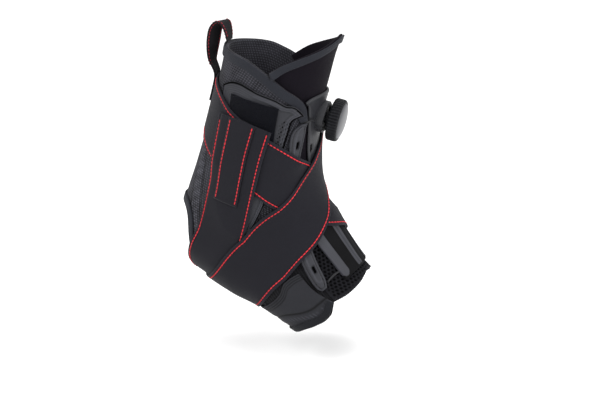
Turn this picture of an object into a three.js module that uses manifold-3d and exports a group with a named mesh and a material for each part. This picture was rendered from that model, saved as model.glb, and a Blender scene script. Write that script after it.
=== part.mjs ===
import * as THREE from "three";
import { mergeVertices } from "three/addons/utils/BufferGeometryUtils.js";
import Module from "manifold-3d";

// Laced ankle brace with two wrap straps, in its worn form on a right foot with the heel raised.
// Millimetres. The origin is the centre of the ankle joint, +X points to the toes and +Z up.
// The outer side of the foot faces -Y.

// The foot that the brace fits
const ANKLE_DEPTH = 100; // instep to heel cord, through the ankle joint
const ANKLE_WIDTH = 72; // from one ankle bone to the other
const SHAFT_RISE = 160; // ankle joint up to the calf section
const SOLE_DROP = 100; // ankle joint down to the sole's edge of the brace
const SKIN_CLEARANCE = 0.5; // the innermost cloth keeps off the skin

// Cloth and plies
const LINER_WALL = 3.0; // padded knit of the boot
const TONGUE_WALL = 2.4;
const SHELL_WALL = 1.8; // moulded overlay on each ankle bone
const PATCH_WALL = 1.3; // looped pile that the strap ends grip
const WRAP_WALL = 2.0; // smooth cuff round the middle of the foot
const STRAP_WALL = 1.8;
const TAB_WALL = 1.3; // gripping tab on a strap's end
const PLATE_WALL = 2.4; // moulded plate that carries the dial
const GUIDE_WALL = 3.0; // lace guides
const STIFFENER_WALL = 2.0; // plate on the tongue, over the instep
const RIB_RISE = 0.8; // ribs of the stiffener over its face
const BINDING_WALL = 1.0;
const PLY_GAP = 0.35; // between two pieces that lie on each other

// Straps, bindings and the pull loop
const STRAP_WIDTH = 50;
const STRAP_LIFT = 7; // height over the skin at which a strap's width is measured
const TAB_WIDTH = 22;
const TAB_LENGTH = 76;
const BINDING_WIDTH = 6;
const HEEL_BINDING_WIDTH = 4.5;
const LOOP_WIDTH = 15;
const LOOP_WALL = 1.6;
const LOOP_RISE = 18; // above the boot's top edge
const LOOP_BULGE = 12; // behind the boot's top edge
const LOOP_TWIST = 34; // degrees that the ribbon turns to the outer side between its two sewn ends
const LACE_DIAMETER = 1.8;

// Dial
const DIAL_STATION = 2.93; // where it stands on the front of the leg
const HOUSING_RADIUS = 13.5;
const HOUSING_HEIGHT = 4.5; // over the plate
const HOUSING_BORE_DEPTH = 5;
const STEM_RADIUS = 5;
const RUNNING_CLEARANCE = 0.35;
const PULL_TRAVEL = 2.5; // the knob stands pulled out by this much
const KNOB_STAND_OFF = 3.4; // from the housing to the knob's back
const KNOB_RADIUS = 18;
const KNOB_THICKNESS = 9.5;
const KNOB_SOCKET_DEPTH = 5;
const CAP_RADIUS = 15;
const CAP_RISE = 2.6;
const CAP_SEAT = 1.5; // how deep the cap sits in the knob

// Sections of the foot, from the calf (station 0) down and round to the middle of the foot (station 11).
// Lengths along X are shares of ANKLE_DEPTH, those along Z of SHAFT_RISE above the joint and of
// SOLE_DROP below it, and half widths are shares of ANKLE_WIDTH. Bias moves the widest place forward,
// and a flatness under 1 squares the back or the sole.
const SECTIONS = [
  // frontX, frontZ, backX, backZ, outer, inner, bias, flatness
  [0.73, 1.04, -0.21, 1.005, 0.61, 0.61, 0.0, 1.0],
  [0.63, 0.855, -0.25, 0.83, 0.555, 0.555, 0.05, 1.0],
  [0.545, 0.655, -0.33, 0.605, 0.515, 0.515, 0.12, 1.0],
  [0.46, 0.45, -0.43, 0.375, 0.485, 0.485, 0.18, 1.0],
  [0.43, 0.285, -0.53, 0.17, 0.5, 0.5, 0.2, 1.0],
  [0.45, 0.14, -0.655, -0.13, 0.5, 0.5, 0.12, 1.0],
  [0.505, 0.012, -0.665, -0.45, 0.485, 0.485, 0.05, 0.95],
  [0.565, -0.1, -0.5, -0.63, 0.47, 0.47, -0.05, 0.85],
  [0.635, -0.23, -0.23, -0.78, 0.485, 0.485, -0.13, 0.75],
  [0.725, -0.37, 0.05, -0.9, 0.515, 0.515, -0.18, 0.7],
  [0.84, -0.53, 0.33, -1.04, 0.54, 0.54, -0.2, 0.68],
  [0.98, -0.67, 0.6, -1.18, 0.57, 0.57, -0.2, 0.66],
];

// Edges of the pieces. A place on the foot is a station, and a turn in degrees: 0 at the front,
// 90 on the outer side, 180 at the back or under the sole, and minus on the inner side.
const TONGUE_TOP = [
  // turn, station
  [0, 0.72], [15, 0.87], [35, 1.05], [56, 1.22], [73, 1.38], [88, 1.62],
];
const TONGUE_END = [[0, 10.4], [15, 10.49], [33, 10.55], [56, 10.5], [80, 10.3]];
const TONGUE_SIDE = [
  // share of the way down, turn
  [0, 88], [0.08, 74], [0.2, 52], [0.4, 46], [0.7, 62], [1, 80],
];
const BODY_TOP = [
  [30, 2.89], [37, 2.5], [45, 2.28], [63, 1.99], [83, 1.63], [96, 1.45], [115, 1.25], [146, 1.12], [180, 1.05],
];
const BODY_END = [[68, 10.22], [76, 10.38], [90, 10.56], [104, 10.48], [117, 10.34], [141, 10.2], [180, 10.1]];
const BODY_SIDE = [[0, 30], [0.2, 34], [0.45, 44], [0.7, 52], [0.85, 60], [1, 68]];
const SHELL_TOP = [
  [36, 2.74], [44, 2.52], [52, 2.38], [60, 2.34], [72, 2.18], [91, 2.02], [101, 1.92], [113, 1.82], [125, 1.81],
  [138, 1.91],
];
const SHELL_END = 6.2; // station of its rounded lower end
const SHELL_FRONT = [[0, 38], [0.05, 44], [0.1, 48.5], [0.2, 49.5], [0.5, 54], [0.75, 65], [0.9, 75], [1, 84]];
const SHELL_BACK = [[0, 138], [0.3, 128], [0.6, 113], [0.85, 101], [1, 92]];
const PATCH_CORNERS = [[2.39, 66], [2.08, 119.5], [3.75, 61], [3.9, 112]];
const UPPER_GUIDE_STATIONS = [2.88, 4.25];
const UPPER_GUIDE_FRONT = [[0, 33], [0.3, 32], [1, 35]];
const UPPER_GUIDE_BACK = [[0, 39.5], [0.1, 44.5], [0.25, 47], [0.6, 46.5], [1, 46]];
const LOWER_GUIDE_STATIONS = [8.2, 9.84];
const LOWER_GUIDE_FRONT = [[0, 52], [0.5, 59], [0.85, 64], [1, 68.5]];
const LOWER_GUIDE_BACK = [[0, 65], [0.25, 69.5], [0.7, 75.5], [0.9, 76.5], [1, 74.5]];
const PLATE_TOP = [[0, 2.27], [11, 2.27], [30, 2.3], [41, 2.34]];
const PLATE_END = 4.5;
const PLATE_SIDE = [[0, 40.5], [0.1, 32.5], [0.25, 27], [0.5, 22.5], [0.8, 20], [1, 18.5]];
const STIFFENER_STATIONS = [7.1, 10.12];
const STIFFENER_SIDE = [[0, 44], [0.6, 45], [1, 46]];
const STIFFENER_ROWS = 8;
const STIFFENER_RIBS = [
  // share of the way to its side, share of RIB_RISE
  [0.15, 0], [0.2, 1], [0.38, 1], [0.43, 0], [0.71, 0], [0.76, 1], [1, 1],
];
const WRAP_TOP = [[64, 8.9], [90, 8.76], [101, 9.0], [115, 9.07], [140, 9.0], [180, 8.85]];
const WRAP_SIDE = [[0, 78], [0.5, 80], [1, 76]];
const WRAP_MARGIN = 0.06; // the cuff ends this many stations short of the boot's edge
const HEEL_HOLE = { station: 5.78, height: 0.93, halfTurn: 40, upperPower: 3, lowerPower: 2.2 };

const LOOP_ANCHOR = [2.45, 1.78]; // stations where the ribbon is sewn flat on the back
// Middle line of the free ribbon, from the boot's top edge: back as a share of LOOP_BULGE, up as a share
// of LOOP_RISE, and the share of its twist
const LOOP_LINE = [
  [1.25, -1.05, 0.1], [1.25, -0.6, 0.6], [1.15, 0.05, 1], [0.98, 0.6, 1], [0.62, 0.9, 0.9], [0.28, 0.84, 0.55],
  [0.07, 0.45, 0.25], [0, 0.05, 0],
];

// Centre lines of the straps, as turn, station and share of the strap's width. A strap starts at the
// seam on the back, comes round to the front, crosses to the other side, goes under the sole and
// climbs to its start.
const UNDER_STRAP = [
  [179, 2.45, 1], [152, 2.6, 1], [127, 2.98, 1], [96, 3.55, 0.98], [65, 4.2, 0.95], [48, 4.72, 0.95],
  [27, 5.4, 0.96], [0, 6.25, 0.97], [-25, 6.95, 0.95], [-50, 7.4, 0.96], [-72, 7.7, 1], [-92, 7.9, 1],
  [-125, 8.1, 1], [-160, 8.0, 1], [-190, 7.7, 0.96], [-217, 7.2, 0.93], [-246, 6.3, 0.9], [-257, 5.6, 0.9],
  [-262.5, 4.8, 0.9], [-264, 4.14, 0.9], [-264.5, 3.4, 0.93], [-264, 2.67, 0.96],
];
const OVER_STRAP = [
  [179, 2.45, 1], [152, 2.56, 1], [127, 2.85, 1], [96, 3.3, 0.98], [65, 3.7, 0.95], [30, 4.3, 0.88],
  [0, 4.95, 0.8], [-18.5, 5.5, 0.8], [-33, 6.1, 0.84], [-50, 6.75, 0.92], [-71.5, 7.2, 1], [-92, 7.6, 1],
  [-125, 8.0, 1], [-160, 8.05, 1], [-190, 7.8, 0.96], [-216, 7.3, 0.93], [-246, 6.3, 0.9], [-257, 5.6, 0.9],
  [-262.5, 4.8, 0.9], [-264, 4.14, 0.9], [-264.5, 3.4, 0.93], [-264, 2.67, 0.96],
];

// Fineness of the faceted solids
const STRAP_STEP = 10;
const STRAP_CELLS = 5;
const SELF_LAG = 8; // a strap can lie on its own turns from this many steps back
const WALK_STEP = 2.5;
const RELIEF_STATION = 0.035;
const RELIEF_TURN = 1.5;
const SETTLING_PASSES = 12;

const rad = THREE.MathUtils.degToRad;
const mix = THREE.MathUtils.lerp;

// Reads a table of [place, value] rows at any place, on a smooth curve through them.
function read(table, place) {
  const last = table.length - 1;
  if (place <= table[0][0]) return table[0][1];
  if (place >= table[last][0]) return table[last][1];
  const i = table.findIndex((row) => row[0] > place) - 1;
  const [x0, y0] = table[i];
  const [x1, y1] = table[i + 1];
  const slope = (a, b) => (table[b][1] - table[a][1]) / (table[b][0] - table[a][0]);
  const m0 = slope(Math.max(i - 1, 0), i + 1);
  const m1 = slope(i, Math.min(i + 2, last));
  const width = x1 - x0;
  const s = (place - x0) / width;
  return (
    y0 * (1 + 2 * s) * (1 - s) ** 2 +
    y1 * s * s * (3 - 2 * s) +
    width * (m0 * s * (1 - s) ** 2 - m1 * s * s * (1 - s))
  );
}

// Reads every column of a table of rows at a fractional row number, on a smooth curve through them.
function rowAt(table, place) {
  const last = table.length - 1;
  const i = Math.min(Math.max(Math.floor(place), 0), last - 1);
  const s = place - i;
  const a = table[Math.max(i - 1, 0)];
  const b = table[i];
  const c = table[i + 1];
  const d = table[Math.min(i + 2, last)];
  return b.map(
    (value, k) =>
      value +
      0.5 * s * (c[k] - a[k] + s * (2 * a[k] - 5 * value + 4 * c[k] - d[k] + s * (3 * (value - c[k]) + d[k] - a[k]))),
  );
}

// The sections in millimetres
const rise = (share) => share * (share > 0 ? SHAFT_RISE : SOLE_DROP);
const sections = SECTIONS.map(([frontX, frontZ, backX, backZ, outer, inner, ...form]) => [
  frontX * ANKLE_DEPTH,
  rise(frontZ),
  backX * ANKLE_DEPTH,
  rise(backZ),
  outer * ANKLE_WIDTH,
  inner * ANKLE_WIDTH,
  ...form,
]);

// The skin of the foot at a station and a turn
function skin(station, turn) {
  const [frontX, frontZ, backX, backZ, outer, inner, bias, flatness] = rowAt(sections, station);
  const c = Math.cos(rad(turn));
  const s = Math.sin(rad(turn));
  const along = c < 0 ? -((-c) ** flatness) : c;
  const half = s > 0 ? outer : inner;
  const front = new THREE.Vector3(frontX, 0, frontZ);
  const place = new THREE.Vector3(backX, 0, backZ).lerp(front, 0.5 + 0.5 * along);
  place.y = -half * s * (1 + bias * c);
  return place;
}

// The direction straight out of the skin
function outward(station, turn) {
  const du = 0.02;
  const dt = 0.5;
  const along = skin(station + du, turn).sub(skin(station - du, turn));
  const round = skin(station, turn + dt).sub(skin(station, turn - dt));
  return round.cross(along).normalize();
}

const over = (station, turn, lift) => skin(station, turn).addScaledVector(outward(station, turn), lift);

// Relief: how high the outermost piece so far stands over the skin, on a fine grid of stations and turns
const lastStation = SECTIONS.length - 1;
const reliefRows = Math.floor(lastStation / RELIEF_STATION) + 1;
const reliefColumns = Math.round(360 / RELIEF_TURN);
const skinNodes = [];
for (let i = 0; i < reliefRows; i++)
  for (let j = 0; j < reliefColumns; j++) {
    const station = i * RELIEF_STATION;
    const turn = j * RELIEF_TURN;
    skinNodes.push({ place: skin(station, turn), normal: outward(station, turn) });
  }
const relief = new Float32Array(skinNodes.length).fill(SKIN_CLEARANCE - PLY_GAP);
const nodeIndex = (i, j) => i * reliefColumns + (((j % reliefColumns) + reliefColumns) % reliefColumns);

function reliefAt(map, station, turn) {
  const i = Math.min(Math.max(Math.floor(station / RELIEF_STATION), 0), reliefRows - 2);
  const j = Math.floor(turn / RELIEF_TURN);
  const corners = [nodeIndex(i, j), nodeIndex(i, j + 1), nodeIndex(i + 1, j), nodeIndex(i + 1, j + 1)];
  return Math.max(...corners.map((n) => map[n]));
}

// Calls visit(row, column, height, shares) for each relief node under a facet of { station, turn, place } corners.
function underFacet(a, b, c, visit) {
  const det = (b.turn - c.turn) * (a.station - c.station) + (c.station - b.station) * (a.turn - c.turn);
  if (Math.abs(det) < 1e-9) return;
  const stations = [a.station, b.station, c.station];
  const turns = [a.turn, b.turn, c.turn];
  const i0 = Math.max(Math.ceil(Math.min(...stations) / RELIEF_STATION), 0);
  const i1 = Math.min(Math.floor(Math.max(...stations) / RELIEF_STATION), reliefRows - 1);
  const j0 = Math.ceil(Math.min(...turns) / RELIEF_TURN);
  const j1 = Math.floor(Math.max(...turns) / RELIEF_TURN);
  const spot = new THREE.Vector3();
  for (let i = i0; i <= i1; i++)
    for (let j = j0; j <= j1; j++) {
      const station = i * RELIEF_STATION - c.station;
      const turn = j * RELIEF_TURN - c.turn;
      const wa = ((b.turn - c.turn) * station + (c.station - b.station) * turn) / det;
      const wb = ((c.turn - a.turn) * station + (a.station - c.station) * turn) / det;
      const wc = 1 - wa - wb;
      if (wa < 0 || wb < 0 || wc < 0) continue;
      const node = skinNodes[nodeIndex(i, j)];
      spot.copy(a.place).multiplyScalar(wa).addScaledVector(b.place, wb).addScaledVector(c.place, wc);
      visit(i, j, spot.sub(node.place).dot(node.normal), [wa, wb, wc]);
    }
}

// The two facets of the cell at row i and column j of a sheet's face
function facets(face, i, j) {
  const next = (i + 1) % face.length;
  const [a, b, c, d] = [face[i][j], face[i][j + 1], face[next][j + 1], face[next][j]];
  return [[a, b, c], [a, c, d]];
}

const faceOf = (grid, lifts) =>
  grid.map((row, i) =>
    row.map(([station, turn], j) => ({ station, turn, place: over(station, turn, lifts[i][j]) })),
  );

// Adds one strip of a sheet's outer face to a relief map, with a margin of one node.
function cover(map, face, i) {
  for (let j = 0; j + 1 < face[i].length; j++)
    for (const facet of facets(face, i, j))
      underFacet(...facet, (row, column, height) => {
        for (let di = -1; di <= 1; di++)
          for (let dj = -1; dj <= 1; dj++) {
            if (row + di < 0 || row + di >= reliefRows) continue;
            const n = nodeIndex(row + di, column + dj);
            map[n] = Math.max(map[n], height);
          }
      });
}

// Works out how high each point of a sheet stands so that its inner face clears all that it lies on.
// The grid holds rows of [station, turn]. A strap also lies on its own strips from SELF_LAG rows back.
function settle(grid, wall, { rising = () => 0, closed = false, selfLag = Infinity, smoothing = 6 } = {}) {
  const strips = closed ? grid.length : grid.length - 1;
  const lifts = grid.map((row) =>
    row.map(([station, turn]) => reliefAt(relief, station, turn) + PLY_GAP + rising(station, turn)),
  );
  for (let pass = 0; pass < SETTLING_PASSES; pass++) {
    if (pass < smoothing) soften(lifts, closed);
    const below = relief.slice();
    for (let i = 0; i < strips; i++) {
      const next = (i + 1) % grid.length;
      if (i >= selfLag) {
        const back = [i - selfLag, i - selfLag + 1];
        cover(below, faceOf(back.map((k) => grid[k]), back.map((k) => lifts[k].map((lift) => lift + wall))), 0);
      }
      const inner = faceOf([grid[i], grid[next]], [lifts[i], lifts[next]]);
      inner.forEach((row, k) => row.forEach((point, m) => Object.assign(point, { row: [i, next][k], column: m, up: 0 })));
      for (let j = 0; j + 1 < grid[i].length; j++)
        for (const facet of facets(inner, 0, j))
          underFacet(...facet, (row, column, height, shares) => {
            const short = below[nodeIndex(row, column)] + PLY_GAP - height;
            const weight = shares[0] ** 2 + shares[1] ** 2 + shares[2] ** 2;
            facet.forEach((point, m) => (point.up = Math.max(point.up, (short * shares[m]) / weight)));
          });
      for (const point of inner.flat()) lifts[point.row][point.column] += point.up;
    }
  }
  return lifts;
}

// Draws cloth tight over steps: a point never drops, and rises to the mean of its neighbours.
function soften(lifts, closed) {
  const rows = lifts.length;
  const before = lifts.map((row) => row.slice());
  const pick = (i, j) => {
    const k = closed ? (i + rows) % rows : Math.min(Math.max(i, 0), rows - 1);
    return before[k][Math.min(Math.max(j, 0), before[k].length - 1)];
  };
  lifts.forEach((row, i) =>
    row.forEach((lift, j) => {
      const mean = (pick(i - 1, j) + pick(i + 1, j) + pick(i, j - 1) + pick(i, j + 1)) / 4;
      row[j] = Math.max(lift, mean);
    }),
  );
}

// Joins an inner and an outer face, both grids of points, into one closed geometry.
function closedGeometry(inner, outer, closed) {
  const rows = inner.length;
  const columns = inner[0].length;
  const positions = [...inner.flat(), ...outer.flat()].flatMap((p) => [p.x, p.y, p.z]);
  const at = (side, i, j) => side * rows * columns + (i % rows) * columns + j;
  const index = [];
  const quad = (a, b, c, d) => index.push(a, b, c, a, c, d);
  const strips = closed ? rows : rows - 1;
  for (let i = 0; i < strips; i++)
    for (let j = 0; j + 1 < columns; j++) {
      quad(at(1, i, j), at(1, i, j + 1), at(1, i + 1, j + 1), at(1, i + 1, j));
      const [a, b, c, d] = [at(0, i, j), at(0, i, j + 1), at(0, i + 1, j + 1), at(0, i + 1, j)];
      index.push(a, c, b, a, d, c);
    }
  for (let i = 0; i < strips; i++) {
    quad(at(0, i, 0), at(1, i, 0), at(1, i + 1, 0), at(0, i + 1, 0));
    quad(at(1, i, columns - 1), at(0, i, columns - 1), at(0, i + 1, columns - 1), at(1, i + 1, columns - 1));
  }
  if (!closed)
    for (let j = 0; j + 1 < columns; j++) {
      quad(at(0, 0, j + 1), at(1, 0, j + 1), at(1, 0, j), at(0, 0, j));
      quad(at(1, rows - 1, j + 1), at(0, rows - 1, j + 1), at(0, rows - 1, j), at(1, rows - 1, j));
    }
  const geometry = new THREE.BufferGeometry();
  geometry.setAttribute("position", new THREE.Float32BufferAttribute(positions, 3));
  geometry.setIndex(index);
  return facingOut(geometry);
}

function facingOut(geometry) {
  const p = geometry.getAttribute("position");
  const index = geometry.getIndex().array;
  const [a, b, c] = [new THREE.Vector3(), new THREE.Vector3(), new THREE.Vector3()];
  let volume = 0;
  for (let i = 0; i < index.length; i += 3) {
    a.fromBufferAttribute(p, index[i]);
    b.fromBufferAttribute(p, index[i + 1]);
    c.fromBufferAttribute(p, index[i + 2]);
    volume += a.dot(b.cross(c));
  }
  if (volume < 0) {
    const turned = [];
    for (let i = 0; i < index.length; i += 3) turned.push(index[i], index[i + 2], index[i + 1]);
    geometry.setIndex(turned);
  }
  return geometry;
}

// Lays a sheet on all that is there, adds it to the relief and returns its geometry.
// extra(row, column) thickens its outer face, for ribs.
function laySheet(grid, wall, options = {}) {
  const { closed = false, extra = () => 0, lifts = settle(grid, wall, options) } = options;
  const tops = lifts.map((row, i) => row.map((lift, j) => lift + wall + extra(i, j)));
  const inner = faceOf(grid, lifts);
  const outer = faceOf(grid, tops);
  const strips = closed ? grid.length : grid.length - 1;
  for (let i = 0; i < strips; i++)
    cover(relief, [outer[i], outer[(i + 1) % grid.length]], 0);
  const places = (face) => face.map((row) => row.map((point) => point.place));
  return closedGeometry(places(inner), places(outer), closed);
}

// A grid of [station, turn] from shares down and across
function gridOf(rows, columns, spot) {
  return Array.from({ length: rows + 1 }, (_, i) =>
    Array.from({ length: columns + 1 }, (_, j) => spot(i / rows, j / columns)),
  );
}

const mirrored = (grid) => grid.map((row) => row.map(([station, turn]) => [station, -turn]));

// Walks over the foot from a place in a direction, at STRAP_LIFT over the skin.
function walk(station, turn, direction, distance) {
  const steps = Math.max(1, Math.ceil(Math.abs(distance) / WALK_STEP));
  const step = distance / steps;
  const heading = direction.clone();
  for (let k = 0; k < steps; k++) {
    const here = over(station, turn, STRAP_LIFT);
    const alongStation = over(station + 0.02, turn, STRAP_LIFT).sub(here).divideScalar(0.02);
    const alongTurn = over(station, turn + 0.5, STRAP_LIFT).sub(here).divideScalar(0.5);
    const normal = outward(station, turn);
    heading.addScaledVector(normal, -heading.dot(normal)).normalize();
    const uu = alongStation.dot(alongStation);
    const ut = alongStation.dot(alongTurn);
    const tt = alongTurn.dot(alongTurn);
    const hu = heading.dot(alongStation);
    const ht = heading.dot(alongTurn);
    const det = uu * tt - ut * ut;
    station += (step * (hu * tt - ht * ut)) / det;
    turn += (step * (ht * uu - hu * ut)) / det;
    station = Math.min(Math.max(station, 0), lastStation);
  }
  return [station, turn];
}

// Places at equal steps of about the length given, along a line of [station, turn, ...] samples.
function evenly(samples, spacing) {
  const places = samples.map(([station, turn]) => over(station, turn, STRAP_LIFT));
  const run = [0];
  for (let i = 1; i < places.length; i++) run.push(run[i - 1] + places[i].distanceTo(places[i - 1]));
  const length = run[run.length - 1];
  const count = Math.max(1, Math.round(length / spacing));
  const out = [];
  let i = 0;
  for (let k = 0; k <= count; k++) {
    const target = (length * k) / count;
    while (i < run.length - 2 && run[i + 1] < target) i++;
    const s = (target - run[i]) / (run[i + 1] - run[i]);
    out.push(samples[i].map((value, m) => mix(value, samples[i + 1][m], s)));
  }
  return { places: out, length };
}

// A band laid beside a line on the foot, from one offset to another in millimetres to its left
function lane(line, from, to, cells, { closed = false, skewStart = 0 } = {}) {
  const n = line.length;
  return line.map(([station, turn, share = 1], i) => {
    const before = line[closed ? (i - 1 + n) % n : Math.max(i - 1, 0)];
    const after = line[closed ? (i + 1) % n : Math.min(i + 1, n - 1)];
    const tangent = over(after[0], after[1], STRAP_LIFT).sub(over(before[0], before[1], STRAP_LIFT)).normalize();
    const across = outward(station, turn).cross(tangent).normalize();
    let stretch = 1;
    if (i < skewStart) {
      const down = over(station - 0.02, turn, STRAP_LIFT).sub(over(station + 0.02, turn, STRAP_LIFT)).normalize();
      const upright = down.multiplyScalar(Math.sign(down.dot(across)));
      const squared = across.clone();
      across.lerp(upright, 1 - i / skewStart).normalize();
      stretch = 1 / across.dot(squared);
    }
    return Array.from({ length: cells + 1 }, (_, j) =>
      walk(station, turn, across, share * stretch * mix(from, to, j / cells)),
    );
  });
}

// Makes a named mesh and adds it to the brace.
const brace = new THREE.Group();
function add(name, geometry, material) {
  geometry.computeVertexNormals();
  const mesh = new THREE.Mesh(geometry, material.clone());
  mesh.name = name;
  brace.add(mesh);
  return mesh;
}

const finish = (color, roughness, metalness = 0) => new THREE.MeshStandardMaterial({ color, roughness, metalness });
const KNIT = finish(0x3a3b40, 0.95);
const SMOOTH_CLOTH = finish(0x26262b, 0.8);
const MESH_CLOTH = finish(0x1d1e22, 0.95);
const TAPE = finish(0x2f3036, 0.85);
const PILE = finish(0x101116, 1);
const STRAP_CLOTH = finish(0x29292f, 0.85);
const MOULDED = finish(0x47474a, 0.5);
const DIAL_PLASTIC = finish(0x3c3c40, 0.45);
const CORD = finish(0x202024, 0.6);

// Solids that are cut or joined
const wasm = await Module();
wasm.setup();

function solidOf(geometry) {
  const bare = geometry.clone();
  bare.deleteAttribute("normal");
  bare.deleteAttribute("uv");
  const merged = mergeVertices(bare, 1e-4);
  return new wasm.Manifold(
    new wasm.Mesh({
      numProp: 3,
      vertProperties: new Float32Array(merged.getAttribute("position").array),
      triVerts: new Uint32Array(merged.getIndex().array),
    }),
  );
}

function geometryOf(solid) {
  const mesh = solid.getMesh();
  const geometry = new THREE.BufferGeometry();
  geometry.setAttribute("position", new THREE.BufferAttribute(new Float32Array(mesh.vertProperties), 3));
  geometry.setIndex(new THREE.BufferAttribute(new Uint32Array(mesh.triVerts), 1));
  return geometry;
}

// Tongue: from its flared top on the shin, under the lacing, to the middle of the foot
const TONGUE_FLARE = 1.5; // its top edge stands off the shin
const TONGUE_FLARE_LENGTH = 0.7; // in stations
const tongueGrid = gridOf(18, 12, (down, across) => {
  const turn = read(TONGUE_SIDE, down) * (2 * across - 1);
  return [mix(read(TONGUE_TOP, Math.abs(turn)), read(TONGUE_END, Math.abs(turn)), down), turn];
});
const tongueFlare = (station, turn) => {
  const belowTop = station - read(TONGUE_TOP, Math.abs(turn));
  return TONGUE_FLARE * Math.max(0, 1 - belowTop / TONGUE_FLARE_LENGTH) ** 2 * Math.cos(rad(turn)) ** 2;
};
add("tongue", laySheet(tongueGrid, TONGUE_WALL, { rising: tongueFlare }), MESH_CLOTH);

// A strip of tape along an edge line, whose samples are [station, turn]
function binding(edge, width, cells = 1, options = {}) {
  const line = evenly(edge, 10).places;
  return laySheet(lane(line, -width, 0, cells, options), BINDING_WALL, options);
}
const sweep = (from, to, count, spot) => Array.from({ length: count + 1 }, (_, i) => spot(mix(from, to, i / count)));

add(
  "tongue_binding",
  binding(sweep(60, -60, 90, (turn) => [read(TONGUE_TOP, Math.abs(turn)), turn]), BINDING_WIDTH),
  TAPE,
);

// Boot body: padded knit from the top edge round the heel to the middle of the foot, open at the front
const bodyTurn = (down, round) => {
  const side = read(BODY_SIDE, down);
  return mix(side, 360 - side, round);
};
const outerTurn = (turn) => (turn > 180 ? 360 - turn : turn); // the same place on the outer side
const bodyGrid = gridOf(20, 24, (down, round) => {
  const turn = bodyTurn(down, round);
  return [mix(read(BODY_TOP, outerTurn(turn)), read(BODY_END, outerTurn(turn)), down), turn];
});
const bodyWhole = laySheet(bodyGrid, LINER_WALL);

// The opening over the heel, cut square to the skin
const HOLE_POINTS = 28;
const CUT_BELOW = -8;
const CUT_ABOVE = 12;
const holeRim = (angle) => {
  const { station, height, halfTurn, upperPower, lowerPower } = HEEL_HOLE;
  const c = Math.cos(angle);
  const s = Math.sin(angle);
  const power = c > 0 ? upperPower : lowerPower;
  const ease = (value) => Math.sign(value) * Math.abs(value) ** (2 / power);
  return [station - height * ease(c), 180 - halfTurn * ease(s)];
};
const rimPlaces = sweep(0, 2 * Math.PI, HOLE_POINTS, holeRim).slice(0, HOLE_POINTS);
function plugThrough(rim, below, above) {
  const positions = [];
  for (const lift of [below, above])
    for (const [station, turn] of rim) positions.push(...over(station, turn, lift).toArray());
  const middle = [HEEL_HOLE.station, 180];
  for (const lift of [below, above]) positions.push(...over(...middle, lift).toArray());
  const n = rim.length;
  const index = [];
  for (let i = 0; i < n; i++) {
    const k = (i + 1) % n;
    index.push(i, k, n + k, i, n + k, n + i);
    index.push(k, i, 2 * n, n + i, n + k, 2 * n + 1);
  }
  const geometry = new THREE.BufferGeometry();
  geometry.setAttribute("position", new THREE.Float32BufferAttribute(positions, 3));
  geometry.setIndex(index);
  return facingOut(geometry);
}
const heelPlug = solidOf(plugThrough(rimPlaces, CUT_BELOW, CUT_ABOVE));
add("boot_body", geometryOf(solidOf(bodyWhole).subtract(heelPlug)), KNIT);

const heelRing = lane(rimPlaces, -HEEL_BINDING_WIDTH, 0, 1, { closed: true });
add("heel_binding", laySheet(heelRing, BINDING_WALL, { closed: true }), TAPE);
add(
  "quarter_binding",
  binding(sweep(330, 30, 150, (turn) => [read(BODY_TOP, outerTurn(turn)), turn]), BINDING_WIDTH),
  TAPE,
);

// Foot cuff: a smooth band round the middle of the foot, under the sole
const wrapGrid = gridOf(5, 18, (down, round) => {
  const side = read(WRAP_SIDE, down);
  const turn = mix(side, 360 - side, round);
  const foot = read(BODY_END, outerTurn(turn)) - WRAP_MARGIN;
  return [mix(read(WRAP_TOP, outerTurn(turn)), foot, down), turn];
});
add("foot_wrap", laySheet(wrapGrid, WRAP_WALL), SMOOTH_CLOTH);
add(
  "foot_binding",
  binding(sweep(76, 284, 110, (turn) => [read(BODY_END, outerTurn(turn)) - WRAP_MARGIN, turn]), BINDING_WIDTH),
  TAPE,
);

// Pieces that stand on both sides of the foot
const sides = [
  ["outer", (grid) => grid],
  ["inner", mirrored],
];

// Moulded shells over the ankle bones, with a patch of pile on each
const shellGrid = gridOf(13, 8, (down, across) => {
  const turn = mix(read(SHELL_FRONT, down), read(SHELL_BACK, down), across);
  return [mix(read(SHELL_TOP, turn), SHELL_END, down), turn];
});
const patchGrid = gridOf(5, 5, (down, across) => {
  const [a, b, c, d] = PATCH_CORNERS;
  return [0, 1].map((k) => mix(mix(a[k], b[k], across), mix(c[k], d[k], across), down));
});
for (const [side, place] of sides) {
  add("ankle_shell_" + side, laySheet(place(shellGrid), SHELL_WALL), MOULDED);
  add("pile_patch_" + side, laySheet(place(patchGrid), PATCH_WALL), PILE);
}

// Stiffener on the tongue over the instep, with two raised ribs on each side of its middle
const ribColumns = [...STIFFENER_RIBS.map(([share, height]) => [-share, height]).reverse(), ...STIFFENER_RIBS];
const stiffenerGrid = Array.from({ length: STIFFENER_ROWS + 1 }, (_, i) => {
  const down = i / STIFFENER_ROWS;
  return ribColumns.map(([share]) => [mix(...STIFFENER_STATIONS, down), share * read(STIFFENER_SIDE, down)]);
});
const ribHeight = (row, column) => RIB_RISE * ribColumns[column][1];
add("instep_stiffener", laySheet(stiffenerGrid, STIFFENER_WALL, { extra: ribHeight }), MOULDED);

// Lace guides on the front edges of the boot
function guideGrid([from, to], front, back, rows) {
  return gridOf(rows, 2, (down, across) => [mix(from, to, down), mix(read(front, down), read(back, down), across)]);
}
const upperGuide = guideGrid(UPPER_GUIDE_STATIONS, UPPER_GUIDE_FRONT, UPPER_GUIDE_BACK, 6);
const lowerGuide = guideGrid(LOWER_GUIDE_STATIONS, LOWER_GUIDE_FRONT, LOWER_GUIDE_BACK, 6);
for (const [side, place] of sides) {
  add("upper_guide_" + side, laySheet(place(upperGuide), GUIDE_WALL), MOULDED);
  add("lower_guide_" + side, laySheet(place(lowerGuide), GUIDE_WALL), MOULDED);
}

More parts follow.
